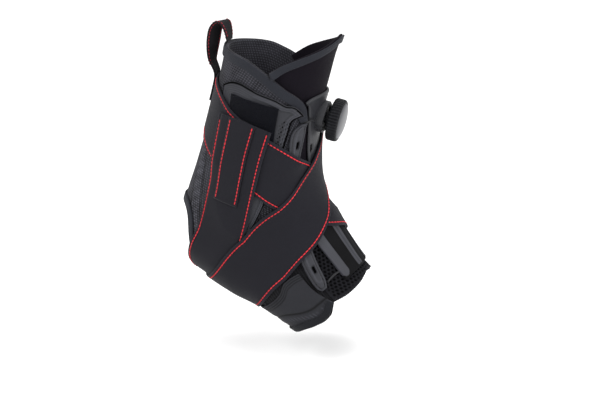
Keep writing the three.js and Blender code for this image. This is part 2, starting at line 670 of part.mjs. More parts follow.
// Dial plate, moulded in one with the dial's housing
const plateGrid = gridOf(8, 8, (down, across) => {
  const turn = read(PLATE_SIDE, down) * (2 * across - 1);
  return [mix(read(PLATE_TOP, Math.abs(turn)), PLATE_END, down), turn];
});
const plateLifts = settle(plateGrid, PLATE_WALL);
const plateTopLift = reliefAt(relief, DIAL_STATION, 0) + PLY_GAP + PLATE_WALL;
const dialAxis = outward(DIAL_STATION, 0);
const dialFoot = over(DIAL_STATION, 0, plateTopLift);
const aim = new THREE.Quaternion().setFromUnitVectors(new THREE.Vector3(0, 1, 0), dialAxis);

// A turned piece round the dial's axis, from a profile of [radius, height over the plate]
const DIAL_SIDES = 24;
function turned(profile, sides = DIAL_SIDES) {
  const points = profile.map(([radius, height]) => new THREE.Vector2(radius, height));
  const geometry = new THREE.LatheGeometry(points, sides);
  geometry.applyQuaternion(aim).translate(dialFoot.x, dialFoot.y, dialFoot.z);
  const bare = new THREE.BufferGeometry();
  bare.setAttribute("position", geometry.getAttribute("position"));
  bare.setIndex(geometry.getIndex());
  return facingOut(mergeVertices(bare, 1e-3));
}

// The same shape as the plate from deep in the foot up to a height under or over its faces
function plateBlock(below, aboveInner) {
  const place = (lift) => (row, i) => row.map(([station, turn], j) => over(station, turn, lift(i, j)));
  const inner = plateGrid.map(place(() => below));
  const outer = plateGrid.map(place((i, j) => plateLifts[i][j] + aboveInner));
  return solidOf(closedGeometry(inner, outer, false));
}
const plateGeometry = laySheet(plateGrid, PLATE_WALL, { lifts: plateLifts });
const HOUSING_ROOT = -12; // how deep the housing's blank starts, before the plate's inner side trims it
const housingBlank = solidOf(
  turned([[0, HOUSING_ROOT], [HOUSING_RADIUS, HOUSING_ROOT], [HOUSING_RADIUS, HOUSING_HEIGHT], [0, HOUSING_HEIGHT]]),
);
const boreRadius = STEM_RADIUS + RUNNING_CLEARANCE;
const boreFloor = HOUSING_HEIGHT - HOUSING_BORE_DEPTH;
const bore = solidOf(
  turned([[0, boreFloor], [boreRadius, boreFloor], [boreRadius, HOUSING_HEIGHT + 1], [0, HOUSING_HEIGHT + 1]]),
);
const housing = housingBlank.subtract(plateBlock(HOUSING_ROOT * 2, PLATE_WALL / 2));
add("dial_plate", geometryOf(solidOf(plateGeometry).add(housing).subtract(bore)), MOULDED);

// Knob, cap and the stem that they slide and turn on
const knobBack = HOUSING_HEIGHT + KNOB_STAND_OFF;
const knobFace = knobBack + KNOB_THICKNESS;
const stemFoot = boreFloor + PULL_TRAVEL + RUNNING_CLEARANCE;
const stemTop = knobBack + KNOB_SOCKET_DEPTH;
add("dial_stem", turned([[0, stemFoot], [STEM_RADIUS, stemFoot], [STEM_RADIUS, stemTop], [0, stemTop]]), DIAL_PLASTIC);
const socketRadius = STEM_RADIUS + RUNNING_CLEARANCE;
const socketTop = stemTop + RUNNING_CLEARANCE;
const capWell = knobFace - CAP_SEAT;
add(
  "dial_knob",
  turned([
    [socketRadius, knobBack],
    [KNOB_RADIUS * 0.82, knobBack],
    [KNOB_RADIUS * 0.97, knobBack + KNOB_THICKNESS * 0.2],
    [KNOB_RADIUS, knobBack + KNOB_THICKNESS * 0.6],
    [KNOB_RADIUS * 0.95, knobFace],
    [CAP_RADIUS, knobFace],
    [CAP_RADIUS, capWell],
    [0, capWell],
    [0, socketTop],
    [socketRadius, socketTop],
    [socketRadius, knobBack],
  ]),
  DIAL_PLASTIC,
);
const capRadius = CAP_RADIUS - RUNNING_CLEARANCE;
const capFoot = capWell + RUNNING_CLEARANCE;
add(
  "dial_cap",
  turned([
    [0, capFoot],
    [capRadius, capFoot],
    [capRadius, knobFace],
    [capRadius * 0.8, knobFace + CAP_RISE * 0.5],
    [capRadius * 0.4, knobFace + CAP_RISE * 0.9],
    [0, knobFace + CAP_RISE],
  ]),
  MOULDED,
);

// Laces, drawn tight: from each upper guide to the dial's housing, and from each lower guide to the stiffener
const LACE_SIDES = 6;
const LACE_STEPS = 6;
const UPPER_LACE_STATION = 2.93;
const LOWER_LACE_STATION = 9.7;
const STIFFENER_LAP = 2.5; // degrees that a lower lace lies over the stiffener's edge
const LACE_END_GAP = 0.5; // degrees between a lace's end and the guide that it enters
const shareBetween = ([from, to], station) => (station - from) / (to - from);
function lace(station, fromTurn, toTurn) {
  const radius = LACE_DIAMETER / 2;
  const turns = sweep(fromTurn, toTurn, 8, (turn) => turn);
  const middle = turns.slice(1, -1).map((turn) => reliefAt(relief, station, turn));
  const lift = Math.max(...middle) + PLY_GAP + radius;
  const path = new THREE.CatmullRomCurve3(turns.map((turn) => over(station, turn, lift)));
  const section = new THREE.Shape(
    sweep(0, 2 * Math.PI, LACE_SIDES, (a) => new THREE.Vector2(Math.cos(a), Math.sin(a)).multiplyScalar(radius)).slice(1),
  );
  const tube = new THREE.ExtrudeGeometry(section, { steps: LACE_STEPS, extrudePath: path });
  const bare = new THREE.BufferGeometry();
  bare.setAttribute("position", tube.getAttribute("position"));
  return facingOut(mergeVertices(bare, 1e-3));
}
// The turn at which a place on the front, at a lift, leaves the housing's round wall
function turnClearOfHousing(station, lift) {
  const away = (turn) => {
    const offset = over(station, turn, lift).sub(dialFoot);
    return offset.addScaledVector(dialAxis, -offset.dot(dialAxis)).length();
  };
  let turn = 0;
  while (away(turn) < HOUSING_RADIUS + PLY_GAP) turn += 0.1;
  return turn;
}
for (const [side, sign] of [["outer", 1], ["inner", -1]]) {
  const start = turnClearOfHousing(UPPER_LACE_STATION, plateTopLift);
  const upperEdge = read(UPPER_GUIDE_FRONT, shareBetween(UPPER_GUIDE_STATIONS, UPPER_LACE_STATION)) - LACE_END_GAP;
  add("upper_lace_" + side, lace(UPPER_LACE_STATION, sign * start, sign * upperEdge), CORD);
  const lap = read(STIFFENER_SIDE, 1) - STIFFENER_LAP;
  const lowerEdge = read(LOWER_GUIDE_FRONT, shareBetween(LOWER_GUIDE_STATIONS, LOWER_LACE_STATION)) - LACE_END_GAP;
  add("lower_lace_" + side, lace(LOWER_LACE_STATION, sign * lap, sign * lowerEdge), CORD);
}

// Straps
function layStrap(name, table, place) {
  const samples = sweep(0, table.length - 1, 400, (row) => {
    const [turn, station, share] = rowAt(table, row);
    return [station, turn, share];
  });
  const line = evenly(samples, STRAP_STEP).places;
  const half = STRAP_WIDTH / 2;
  const grid = place(lane(line, -half, half, STRAP_CELLS, { skewStart: 3 }));
  add(name, laySheet(grid, STRAP_WALL, { selfLag: SELF_LAG }), STRAP_CLOTH);

  // The gripping tab on the strap's end
  const count = Math.round(TAB_LENGTH / STRAP_STEP);
  const tabLine = line.slice(-count - 1);
  const tabGrid = place(lane(tabLine, -TAB_WIDTH / 2, TAB_WIDTH / 2, 3));
  add(name + "_tab", laySheet(tabGrid, TAB_WALL), PILE);
}
layStrap("under_strap", UNDER_STRAP, (grid) => grid);
layStrap("over_strap", OVER_STRAP, mirrored);

// Pull loop: one ribbon, sewn flat over the seam on the back, twisted, and sewn again on the boot's top edge
const HALF_LOOP = LOOP_WIDTH / 2;
const anchorSpan = sweep(...LOOP_ANCHOR, 2, (station) => [station, 180]);
const anchorGrid = lane(anchorSpan, -HALF_LOOP, HALF_LOOP, 2);
const anchorLifts = settle(anchorGrid, LOOP_WALL, { smoothing: 0 });
const anchorFace = (extra) =>
  faceOf(anchorGrid, anchorLifts.map((row) => row.map((lift) => lift + extra))).map((row) => row.map((p) => p.place));
const topBack = read(BODY_TOP, 180);
const edgeTop = over(topBack, 180, SKIN_CLEARANCE + LINER_WALL / 2);
const loopMiddle = LOOP_LINE.map(([back, up]) =>
  new THREE.Vector3(edgeTop.x - back * LOOP_BULGE, 0, edgeTop.z + PLY_GAP + up * LOOP_RISE),
);
const loopCurve = new THREE.CatmullRomCurve3([anchorFace(0)[2][1], ...loopMiddle]);
const LOOP_STEPS = 18;
const loopRows = sweep(1 / LOOP_STEPS, 1, LOOP_STEPS - 1, (s) => {
  const middle = loopCurve.getPoint(s);
  const tangent = loopCurve.getTangent(s);
  const [, , share] = rowAt([[0, 0, 0], ...LOOP_LINE], s * LOOP_LINE.length);
  const twist = rad(LOOP_TWIST) * share;
  const across = new THREE.Vector3(Math.sin(twist), Math.cos(twist), 0);
  const normal = tangent.clone().cross(across).normalize();
  const place = (side, lift) => middle.clone().addScaledVector(across, side * HALF_LOOP).addScaledVector(normal, lift);
  return { inner: [-1, 0, 1].map((side) => place(side, 0)), outer: [-1, 0, 1].map((side) => place(side, LOOP_WALL)) };
});
const anchorIn = anchorFace(0);
const anchorOut = anchorFace(LOOP_WALL);
add(
  "pull_loop",
  closedGeometry([...anchorIn, ...loopRows.map((r) => r.inner)], [...anchorOut, ...loopRows.map((r) => r.outer)], false),
  TAPE,
);

export default brace;
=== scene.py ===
# %% [markdown]
# # An ankle brace, laced and strapped
#
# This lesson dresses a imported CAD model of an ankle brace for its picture. The brace has the shape it is
# worn in, with its pieces on each other: tongue, boot, overlays, lacing, straps. Its pieces could be
# given finishes as they are, but they have no stitches, ribs or weave, so each is replaced by a finer one
# of the same place and size, and the CAD stays the fixed frame behind them.

import math

import bpy
import numpy as np
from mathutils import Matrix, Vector


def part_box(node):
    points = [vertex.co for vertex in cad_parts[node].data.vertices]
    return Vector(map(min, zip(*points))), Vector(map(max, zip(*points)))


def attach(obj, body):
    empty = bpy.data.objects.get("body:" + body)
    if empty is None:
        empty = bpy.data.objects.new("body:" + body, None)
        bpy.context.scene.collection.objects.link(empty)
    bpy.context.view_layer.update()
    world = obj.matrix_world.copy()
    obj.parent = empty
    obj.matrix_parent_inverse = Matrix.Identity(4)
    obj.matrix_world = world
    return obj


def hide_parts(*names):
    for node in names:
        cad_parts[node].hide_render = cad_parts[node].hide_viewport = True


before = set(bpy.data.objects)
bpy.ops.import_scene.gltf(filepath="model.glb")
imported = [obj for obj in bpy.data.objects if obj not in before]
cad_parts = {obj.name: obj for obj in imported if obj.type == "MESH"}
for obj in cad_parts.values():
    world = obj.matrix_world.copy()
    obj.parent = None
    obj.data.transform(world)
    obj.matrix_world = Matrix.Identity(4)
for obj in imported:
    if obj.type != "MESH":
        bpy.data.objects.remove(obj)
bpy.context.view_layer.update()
MM = 0.001

# %% [markdown]
# ## The last
#
# A brace has no shape of its own: it takes that of the form it is put on, which is called a last.
# It could be sculpted, but then no piece could be placed by numbers. Here the last is a row of twelve
# sections, from the top of the shaft, down and round to the front opening. A place on it is a station along
# that row and a turn in degrees round it: 0 at the front, 90 on the outer side, 180 at the back and under
# the sole. The sizes are those of the CAD source, so each piece comes to lie where its solid does.

# %% Sizes and sections
ANKLE_DEPTH = 100
ANKLE_WIDTH = 72
SHAFT_RISE = 160
SOLE_DROP = 100

SECTIONS = np.array([
    # frontX, frontZ, backX, backZ, outer, inner, bias, flatness
    [0.73, 1.04, -0.21, 1.005, 0.61, 0.61, 0.0, 1.0],
    [0.63, 0.855, -0.25, 0.83, 0.555, 0.555, 0.05, 1.0],
    [0.545, 0.655, -0.33, 0.605, 0.515, 0.515, 0.12, 1.0],
    [0.46, 0.45, -0.43, 0.375, 0.485, 0.485, 0.18, 1.0],
    [0.43, 0.285, -0.53, 0.17, 0.5, 0.5, 0.2, 1.0],
    [0.45, 0.14, -0.655, -0.13, 0.5, 0.5, 0.12, 1.0],
    [0.505, 0.012, -0.665, -0.45, 0.485, 0.485, 0.05, 0.95],
    [0.565, -0.1, -0.5, -0.63, 0.47, 0.47, -0.05, 0.85],
    [0.635, -0.23, -0.23, -0.78, 0.485, 0.485, -0.13, 0.75],
    [0.725, -0.37, 0.05, -0.9, 0.515, 0.515, -0.18, 0.7],
    [0.84, -0.53, 0.33, -1.04, 0.54, 0.54, -0.2, 0.68],
    [0.98, -0.67, 0.6, -1.18, 0.57, 0.57, -0.2, 0.66],
])
sections = SECTIONS.copy()
sections[:, [0, 2]] *= ANKLE_DEPTH
sections[:, [4, 5]] *= ANKLE_WIDTH
for column in (1, 3):
    share = SECTIONS[:, column]
    sections[:, column] = share * np.where(share > 0, SHAFT_RISE, SOLE_DROP)
print(len(sections), "sections")

# %% [markdown]
# ## Reading between the rows
#
# The tables hold few rows, so that they are easy to change. Straight lines between them would show as
# facets on the cloth, and a curve object for each would be slow to read at thousands of places. So two
# functions read a table at any place, on a smooth curve through its rows.

# %% Reading tables
def row_at(table, place):
    """Every column of a table at fractional row numbers, on a smooth curve through its rows."""
    last = len(table) - 1
    i = np.clip(np.floor(place).astype(int), 0, last - 1)
    s = (place - i)[..., None]
    a, b = table[np.maximum(i - 1, 0)], table[i]
    c, d = table[i + 1], table[np.minimum(i + 2, last)]
    return b + 0.5 * s * (c - a + s * (2 * a - 5 * b + 4 * c - d + s * (3 * (b - c) + d - a)))


def read(table, place):
    """The value at any place in a table of [place, value] rows, on a smooth curve through them."""
    x, y = np.array(table, float).T
    place = np.clip(np.asarray(place, float), x[0], x[-1])
    i = np.clip(np.searchsorted(x, place, side="right") - 1, 0, len(x) - 2)
    lo, hi = np.maximum(i - 1, 0), np.minimum(i + 2, len(x) - 1)
    m0 = (y[i + 1] - y[lo]) / (x[i + 1] - x[lo])
    m1 = (y[hi] - y[i]) / (x[hi] - x[i])
    width = x[i + 1] - x[i]
    s = (place - x[i]) / width
    bend = width * (m0 * s * (1 - s) ** 2 - m1 * s * s * (1 - s))
    return y[i] * (1 + 2 * s) * (1 - s) ** 2 + y[i + 1] * s * s * (3 - 2 * s) + bend


print("front of the last at station 2.5, mm:", row_at(sections, np.array(2.5))[:2].round(1))

# %% [markdown]
# ## The last's surface
#
# Everything is laid on this surface. A subdivided mesh with a shrinkwrap could carry the pieces too, but it
# gives no heights to add up. A formula gives a point for any station and turn, and the direction straight
# out of it, so that a layer of cloth is just a height over the surface.

# %% The surface
def last_at(station, turn):
    """Places on the last, in millimetres."""
    front_x, front_z, back_x, back_z, outer, inner, bias, flat = np.moveaxis(row_at(sections, station), -1, 0)
    c, s = np.cos(np.radians(turn)), np.sin(np.radians(turn))
    along = np.where(c < 0, -np.abs(c) ** flat, c)
    share = 0.5 + 0.5 * along
    half = np.where(s > 0, outer, inner)
    return np.stack([
        back_x + (front_x - back_x) * share,
        -half * s * (1 + bias * c),
        back_z + (front_z - back_z) * share,
    ], -1)


def unit(v):
    return v / np.linalg.norm(v, axis=-1, keepdims=True)


def outward(station, turn):
    """The direction straight out of the last."""
    along = last_at(station + 0.02, turn) - last_at(station - 0.02, turn)
    round_it = last_at(station, turn + 0.5) - last_at(station, turn - 0.5)
    return unit(np.cross(round_it, along))


def over(station, turn, lift):
    """Places at a height over the last."""
    return last_at(station, turn) + outward(station, turn) * np.asarray(lift)[..., None]


FRONT = np.array(0.0)
print("top front, mm:", last_at(np.array(0.0), FRONT).round())
print("lower front, mm:", last_at(np.array(11.0), FRONT).round())

# %% [markdown]
# ## Lying on each other
#
# Cloth lies on whatever is under it. A cloth simulation could find that, but it would need the last as a
# collider and be slow, and a tight strap has hardly any folds for it to find. Here a relief map keeps, for
# a fine grid of stations and turns, how high the topmost piece so far stands over the last. A new piece
# starts just over that height and adds its own.

# %% The relief map
RELIEF_STATION = 0.02
RELIEF_TURN = 1.0
CLEARANCE = 0.5
PLY_GAP = 0.3
LAST_STATION = len(SECTIONS) - 1
relief = np.full((int(LAST_STATION / RELIEF_STATION) + 2, 360), CLEARANCE - PLY_GAP)


def relief_at(station, turn):
    """Height of what lies at a place, with a margin of one grid step."""
    wide = relief.copy()
    for axis in (0, 1):
        wide = np.maximum(wide, np.maximum(np.roll(wide, 1, axis), np.roll(wide, -1, axis)))
    u = np.clip(station / RELIEF_STATION, 0, len(relief) - 1.001)
    v = np.mod(turn / RELIEF_TURN, 360)
    i, j = np.floor(u).astype(int), np.floor(v).astype(int) % 360
    du, dv, k = u - i, v - np.floor(v), (j + 1) % 360
    top = wide[i, j] * (1 - dv) + wide[i, k] * dv
    return top * (1 - du) + (wide[i + 1, j] * (1 - dv) + wide[i + 1, k] * dv) * du


def finer(a, axis):
    """The same grid with a point halfway between each two."""
    a = np.moveaxis(a, axis, 0)
    out = np.empty((2 * len(a) - 1,) + a.shape[1:])
    out[::2], out[1::2] = a, (a[1:] + a[:-1]) / 2
    return np.moveaxis(out, 0, axis)


def press(station, turn, tops):
    """Adds a sheet's upper face to the relief map."""
    for _ in range(2):
        for axis in (0, 1):
            station, turn, tops = (finer(a, axis) for a in (station, turn, tops))
    i = np.clip(np.round(station / RELIEF_STATION).astype(int), 0, len(relief) - 1)
    j = np.round(turn / RELIEF_TURN).astype(int) % 360
    np.maximum.at(relief, (i, j), tops)


print("relief map:", relief.shape)

# %% [markdown]
# ## Drawing a sheet tight
#
# Where a strap crosses the edge of a tape, it doesn't drop into the corner: it spans it, as a film does.
# A smooth modifier would pull the cloth into the pieces below. So each point rises to the mean of its
# neighbours and never sinks under what it lies on, many times over. A last few passes ease the creases,
# and may sink it by a tenth of a millimetre.

# %% Drawing tight
def mean_round(a, closed=False):
    """The mean of each point's four neighbours."""
    pad = np.pad(a, 1, mode="edge")
    if closed:
        pad[0, 1:-1], pad[-1, 1:-1] = a[-1], a[0]
    return (pad[:-2, 1:-1] + pad[2:, 1:-1] + pad[1:-1, :-2] + pad[1:-1, 2:]) / 4


def draw_tight(base, passes=120, closed=False, ease=3):
    """Draws a sheet tight over what it lies on, then eases its creases."""
    lifts = base.copy()
    for _ in range(passes):
        lifts = np.maximum(base, mean_round(lifts, closed))
    for _ in range(ease):
        lifts = mean_round(lifts, closed)
    return np.maximum(lifts, base - 0.1)


step_test = np.zeros((3, 20))
step_test[:, :8] = 2.0
print("a step of 2 mm, drawn tight:", draw_tight(step_test)[1, 6:12].round(2))

# %% [markdown]
# ## From a grid to cloth
#
# A piece of cloth starts as a grid of shares from 0 to 1, down and across, which its tables turn into
# stations and turns. A plain grid with a bevel would do, but a bevel is hard to keep clean on walls as
# thin as these. So the grid has closer steps at its ends, and the wall thins there along a quarter
# circle, which gives the round edge that real cloth has.

# %% Steps and lengths
def spread(length, cell, edge=0.5):
    """Shares from 0 to 1 at about even steps, with closer ones at both ends for a rounded edge."""
    inner = np.linspace(0, 1, max(2, int(round(length / cell))) + 1)
    ends = np.array([0.12, 0.4, 0.8]) * edge / length
    return np.unique(np.concatenate([inner, ends, 1 - ends]).round(6))


def run_length(points, axis):
    """Distance walked along a grid of points from its first row or column."""
    steps = np.linalg.norm(np.diff(points, axis=axis), axis=-1)
    first = np.zeros_like(np.take(steps, [0], axis))
    return np.concatenate([first, np.cumsum(steps, axis=axis)], axis)


def rim_share(points, radius, closed=False):
    """0 at the edges of a sheet and 1 from a radius inside them, along a quarter circle."""
    away = []
    for axis in ((1,) if closed else (0, 1)):
        run = run_length(points, axis)
        away += [run, np.take(run, [-1], axis) - run]
    near = np.clip(np.min(away, axis=0) / radius, 0, 1)
    return np.sqrt(1 - (1 - near) ** 2)


print("shares across 10 mm of cloth:", spread(10, 2))

# %% [markdown]
# ## Closed meshes
#
# Each piece of the brace is cloth or plastic with a real thickness, so its mesh is closed. A plane with a
# solidify modifier could give that, but its thickness goes wrong at tight bends. Here both faces are made
# at once, from the middle face and the wall. Two attributes go along: cloth, a point's place in the sheet
# in millimetres, so that weave runs with the cloth, and tone, which scales the colour: mostly painted light
# on ribs and painted shade in grooves and holes, and in a few places a part's own lighter or darker colour.

# %% Solids
def face_out(mesh):
    """Turns a closed mesh's faces outward."""
    mesh.calc_loop_triangles()
    co = np.empty(len(mesh.vertices) * 3, np.float32)
    mesh.vertices.foreach_get("co", co)
    tri = np.empty(len(mesh.loop_triangles) * 3, np.int32)
    mesh.loop_triangles.foreach_get("vertices", tri)
    a, b, c = np.moveaxis(co.reshape(-1, 3)[tri].reshape(-1, 3, 3), 1, 0)
    if (a * np.cross(b, c)).sum() < 0:
        mesh.flip_normals()


def solid(name, points, faces, cloth=None, extra=(), tone=None):
    """An object from points in millimetres and quads, with extra faces of any length, all facing out."""
    faces = np.array(faces)
    used = np.unique(np.concatenate([faces.ravel()] + [np.array(e) for e in extra]))
    number = np.zeros(len(points), int)
    number[used] = np.arange(len(used))
    lists = number[faces].tolist() + [number[np.array(e)].tolist() for e in extra]
    mesh = bpy.data.meshes.new(name)
    mesh.from_pydata((points[used] * MM).tolist(), [], lists)
    if cloth is not None:
        places = mesh.attributes.new("cloth", "FLOAT_VECTOR", "POINT")
        places.data.foreach_set("vector", cloth[used].ravel())
    if tone is not None:
        shades = mesh.attributes.new("tone", "FLOAT", "POINT")
        shades.data.foreach_set("value", tone[used].astype(np.float32))
    mesh.update()
    face_out(mesh)
    piece = bpy.data.objects.new(name, mesh)
    bpy.context.collection.objects.link(piece)
    mesh.polygons.foreach_set("use_smooth", [True] * len(mesh.polygons))
    return piece


print("meshes are made in millimetres and kept in metres, times", MM)

# %% [markdown]
# ## A ply
#
# A ply is one layer of the brace: a sheet with an upper face, a lower face and a rim wherever a cell has
# no neighbour, round its outline and round a hole in it. Cutting the hole with a boolean would leave thin
# slivers, so cells are left out instead. Each ply is pressed into the relief map once it is made.

# %% A ply of cloth
OPEN_SIDES = (
    # steps down and across to the neighbour, then the cell's two corners on that side
    (-1, 0, (0, 0), (0, 1)),
    (1, 0, (1, 1), (1, 0)),
    (0, -1, (1, 0), (0, 0)),
    (0, 1, (0, 1), (1, 1)),
)
THIN_EDGE = 0.12


def ply_faces(cells, rows, columns, closed):
    """Quads of the upper face, the lower face and the rims, for the cells that are kept."""
    def at(side, a, b):
        return side * rows * columns + a * columns + b

    i, j = np.nonzero(cells)
    n = (i + 1) % rows
    faces = [np.stack([at(1, i, j), at(1, n, j), at(1, n, j + 1), at(1, i, j + 1)], 1),
             np.stack([at(0, i, j), at(0, i, j + 1), at(0, n, j + 1), at(0, n, j)], 1)]
    high, wide = cells.shape
    framed = np.zeros((high + 2, wide + 2), bool)
    framed[1:-1, 1:-1] = cells
    if closed:
        framed[0], framed[-1] = framed[-2], framed[1]
    for down, across, a, b in OPEN_SIDES:
        neighbour = framed[1 + down: 1 + down + high, 1 + across: 1 + across + wide]
        i, j = np.nonzero(cells & ~neighbour)
        p, q = ((i + a[0]) % rows, j + a[1]), ((i + b[0]) % rows, j + b[1])
        faces.append(np.stack([at(1, *p), at(1, *q), at(0, *q), at(0, *p)], 1))
    return np.concatenate(faces)


def ply(name, grid, lifts, wall, radius=None, relief_on_top=None, closed=False, keep=None, tone=None):
    """A closed sheet on a grid of (station, turn), with its underside at lifts."""
    station, turn = grid
    middle = over(station, turn, lifts + wall / 2)
    shape = rim_share(middle, radius or wall / 2, closed)
    half = wall / 2 * np.maximum(shape, THIN_EDGE)
    top = lifts + wall / 2 + half + (0 if relief_on_top is None else relief_on_top * shape)
    upper = over(station, turn, top)
    lower = over(station, turn, lifts + wall / 2 - half)
    rows, columns = station.shape
    cells = np.ones((rows if closed else rows - 1, columns - 1), bool) if keep is None else keep
    points = np.concatenate([lower.reshape(-1, 3), upper.reshape(-1, 3)])
    cloth = np.stack([run_length(middle, 1), run_length(middle, 0), 0 * turn], -1).reshape(-1, 3)
    shades = None if tone is None else np.tile((tone + 0 * turn).ravel(), 2)
    faces = ply_faces(cells, rows, columns, closed)
    piece = solid(name, points, faces, np.concatenate([cloth, cloth]), tone=shades)
    press(station, turn, top)
    return piece


print("faces of a sheet of 2 by 3 cells:", len(ply_faces(np.ones((2, 3), bool), 3, 4, False)))

# %% [markdown]
# ## Bands
#
# Straps and tapes are cut straight and have the same width all along. Bending a flat strip along a curve
# would twist it off the curved last. So each point walks sideways from the band's line over the surface, in
# small steps, at right angles to the line. At its sewn start a strap is squared to the seam.

# %% Lanes
STRAP_LIFT = 7
WALK_STEP = 1.5
EASE_KERNEL = [0.2, 0.6, 0.2]


def dot(a, b):
    return (a * b).sum(-1)


def sidestep(s, t, step, square, lift):
    """One small step of a whole line of places, at right angles to it over the surface."""
    height = np.full(len(s), lift)
    point = over(s, t, height)
    per_station = (over(s + 0.01, t, height) - point) / 0.01
    per_turn = over(s, t + 0.5, height) - over(s, t - 0.5, height)
    tangent = unit(np.gradient(point, axis=0))
    if square:
        ease = np.clip(np.arange(len(s)) / square, 0, 1)[:, None]
        tangent = unit(tangent * ease - unit(per_turn) * (1 - ease))
    side = np.cross(outward(s, t), tangent) * step[:, None]
    aa, bb, ab = dot(per_station, per_station), dot(per_turn, per_turn), dot(per_station, per_turn)
    sa, sb = dot(side, per_station), dot(side, per_turn)
    det = aa * bb - ab * ab
    s, t = s + (sa * bb - sb * ab) / det, t + (sb * aa - sa * ab) / det
    s = np.convolve(np.pad(s, 1, mode="edge"), EASE_KERNEL, "valid")
    t = np.convolve(np.pad(t, 1, mode="reflect", reflect_type="odd"), EASE_KERNEL, "valid")
    return s, t


def lane(line, offsets, widths=None, square=0, lift=STRAP_LIFT):
    """Grids of station and turn for a band: rows follow a line of (station, turn), columns the offsets."""
    station, turn = np.array(line, float).T
    widths = np.ones(len(station)) if widths is None else widths

    def walk(side_of_line):
        s, t, done, found = station.copy(), turn.copy(), 0.0, []
        for offset in side_of_line:
            need = offset - done
            count = int(abs(need) / WALK_STEP) + 1
            for _ in range(count):
                s, t = sidestep(s, t, need / count * widths, square, lift)
            done = offset
            found.append((s, t))
        return found

    below = walk([o for o in offsets[::-1] if o < 0])[::-1]
    above = walk([o for o in offsets if o >= 0])
    grids = np.array(below + above)
    return grids[:, 0].T, grids[:, 1].T


test_band = lane([[5, 0], [5.05, 0], [5.1, 0]], np.array([-10.0, 0.0, 10.0]))
print("turns of a 20 mm band on the front:", test_band[1][1].round(1))

# %% [markdown]
# ## Lines for the bands
#
# A strap's line is a table of a few places that it runs over, read off the picture and the CAD source. The
# tapes need no table of their own: each follows the table of the edge that it binds. Both could be drawn
# as curves by hand, but a line from the same table stays on its edge when a size changes.

# %% Lines to follow
def even_line(table, step):
    """Rows of a (turn, station, share) table at even distances along the band."""
    fine = row_at(np.array(table, float), np.linspace(0, len(table) - 1.0001, 3000))
    points = over(fine[:, 1], fine[:, 0], np.full(len(fine), STRAP_LIFT))
    run = np.concatenate([[0], np.cumsum(np.linalg.norm(np.diff(points, axis=0), axis=1))])
    places = np.linspace(0, run[-1], int(run[-1] / step) + 1)
    return np.stack([np.interp(places, run, fine[:, k]) for k in range(3)], 1), run[-1]


def mirrored(turn):
    """The same turn on the outer side."""
    turn = turn % 360
    return np.minimum(turn, 360 - turn)


def edge_lane(table, turns, width, rounding=0):
    """A band along the edge that a table of (turn, station) gives."""
    turns = np.linspace(*turns, max(8, int(abs(turns[1] - turns[0]) * 0.9)))
    line = np.stack([read(table, np.hypot(mirrored(turns), rounding)), turns], 1)
    return lane(line, -width + spread(width, 1.6) * width, lift=3)


print("turn 330 mirrored:", mirrored(330))

# %% [markdown]
# ## Making a finish
#
# All the cloths are near black, and what tells them apart is weave, sheen and how rough they are. Picture
# textures would need unwrapping and would blur up close. So each finish is made of nodes: a slow noise
# varies the tone as handling does, a fine one is the grain, and two crossed waves, read from the cloth
# attribute, are the weave at its true pitch; the weave's raised threads are lighter and its hollows darker,
# which is painted light and shade. Specular is low, or the pale room turns dark cloth grey.

# %% Finish helpers
def add_node(tree, kind, settings=None, **inputs):
    """A node with its settings and inputs. A name such as i0 stands for an input's number."""
    made = tree.nodes.new(kind)
    for key, value in (settings or {}).items():
        setattr(made, key, value)
    for key, value in inputs.items():
        name = key.replace("_", " ")
        target = made.inputs[int(name[1:])] if name[1:].isdigit() else made.inputs[name]
        if isinstance(value, bpy.types.NodeSocket):
            tree.links.new(value, target)
        else:
            target.default_value = value
    return made


def add_math(tree, operation, *values):
    inputs = {f"i{k}": value for k, value in enumerate(values)}
    return add_node(tree, "ShaderNodeMath", {"operation": operation}, **inputs).outputs[0]


def add_weave(tree, weave, fine, tone):
    """The height of a weave of (pitch across, pitch along, kind), and its tone, with painted shade in its
    hollows.
    """
    across, along, kind = weave
    cloth = add_node(tree, "ShaderNodeAttribute", {"attribute_name": "cloth"}).outputs["Vector"]
    scaled = add_node(tree, "ShaderNodeMapping", Vector=cloth, Scale=(1 / across, 1 / along, 1)).outputs[0]
    bands = [add_node(tree, "ShaderNodeTexWave", {"bands_direction": direction}, Vector=scaled,
                      Scale=math.pi / 10, Distortion=0.4, Detail_Scale=0.5).outputs["Fac"]
             for direction in ("X", "Y")]
    mode = {"knit": "MULTIPLY", "rib": "MAXIMUM", "twill": "MULTIPLY"}[kind]
    woven = add_math(tree, mode, *bands)
    height = add_math(tree, "MULTIPLY_ADD", woven, 0.8, fine)
    # Painted light and shade: the raised threads are lighter, the hollows between them darker.
    both = add_math(tree, "MULTIPLY_ADD", woven, 2.0, tone)
    return height, add_node(tree, "ShaderNodeMapRange", Value=both, From_Max=2.4).outputs[0]


print("weaves: knit, rib, twill")
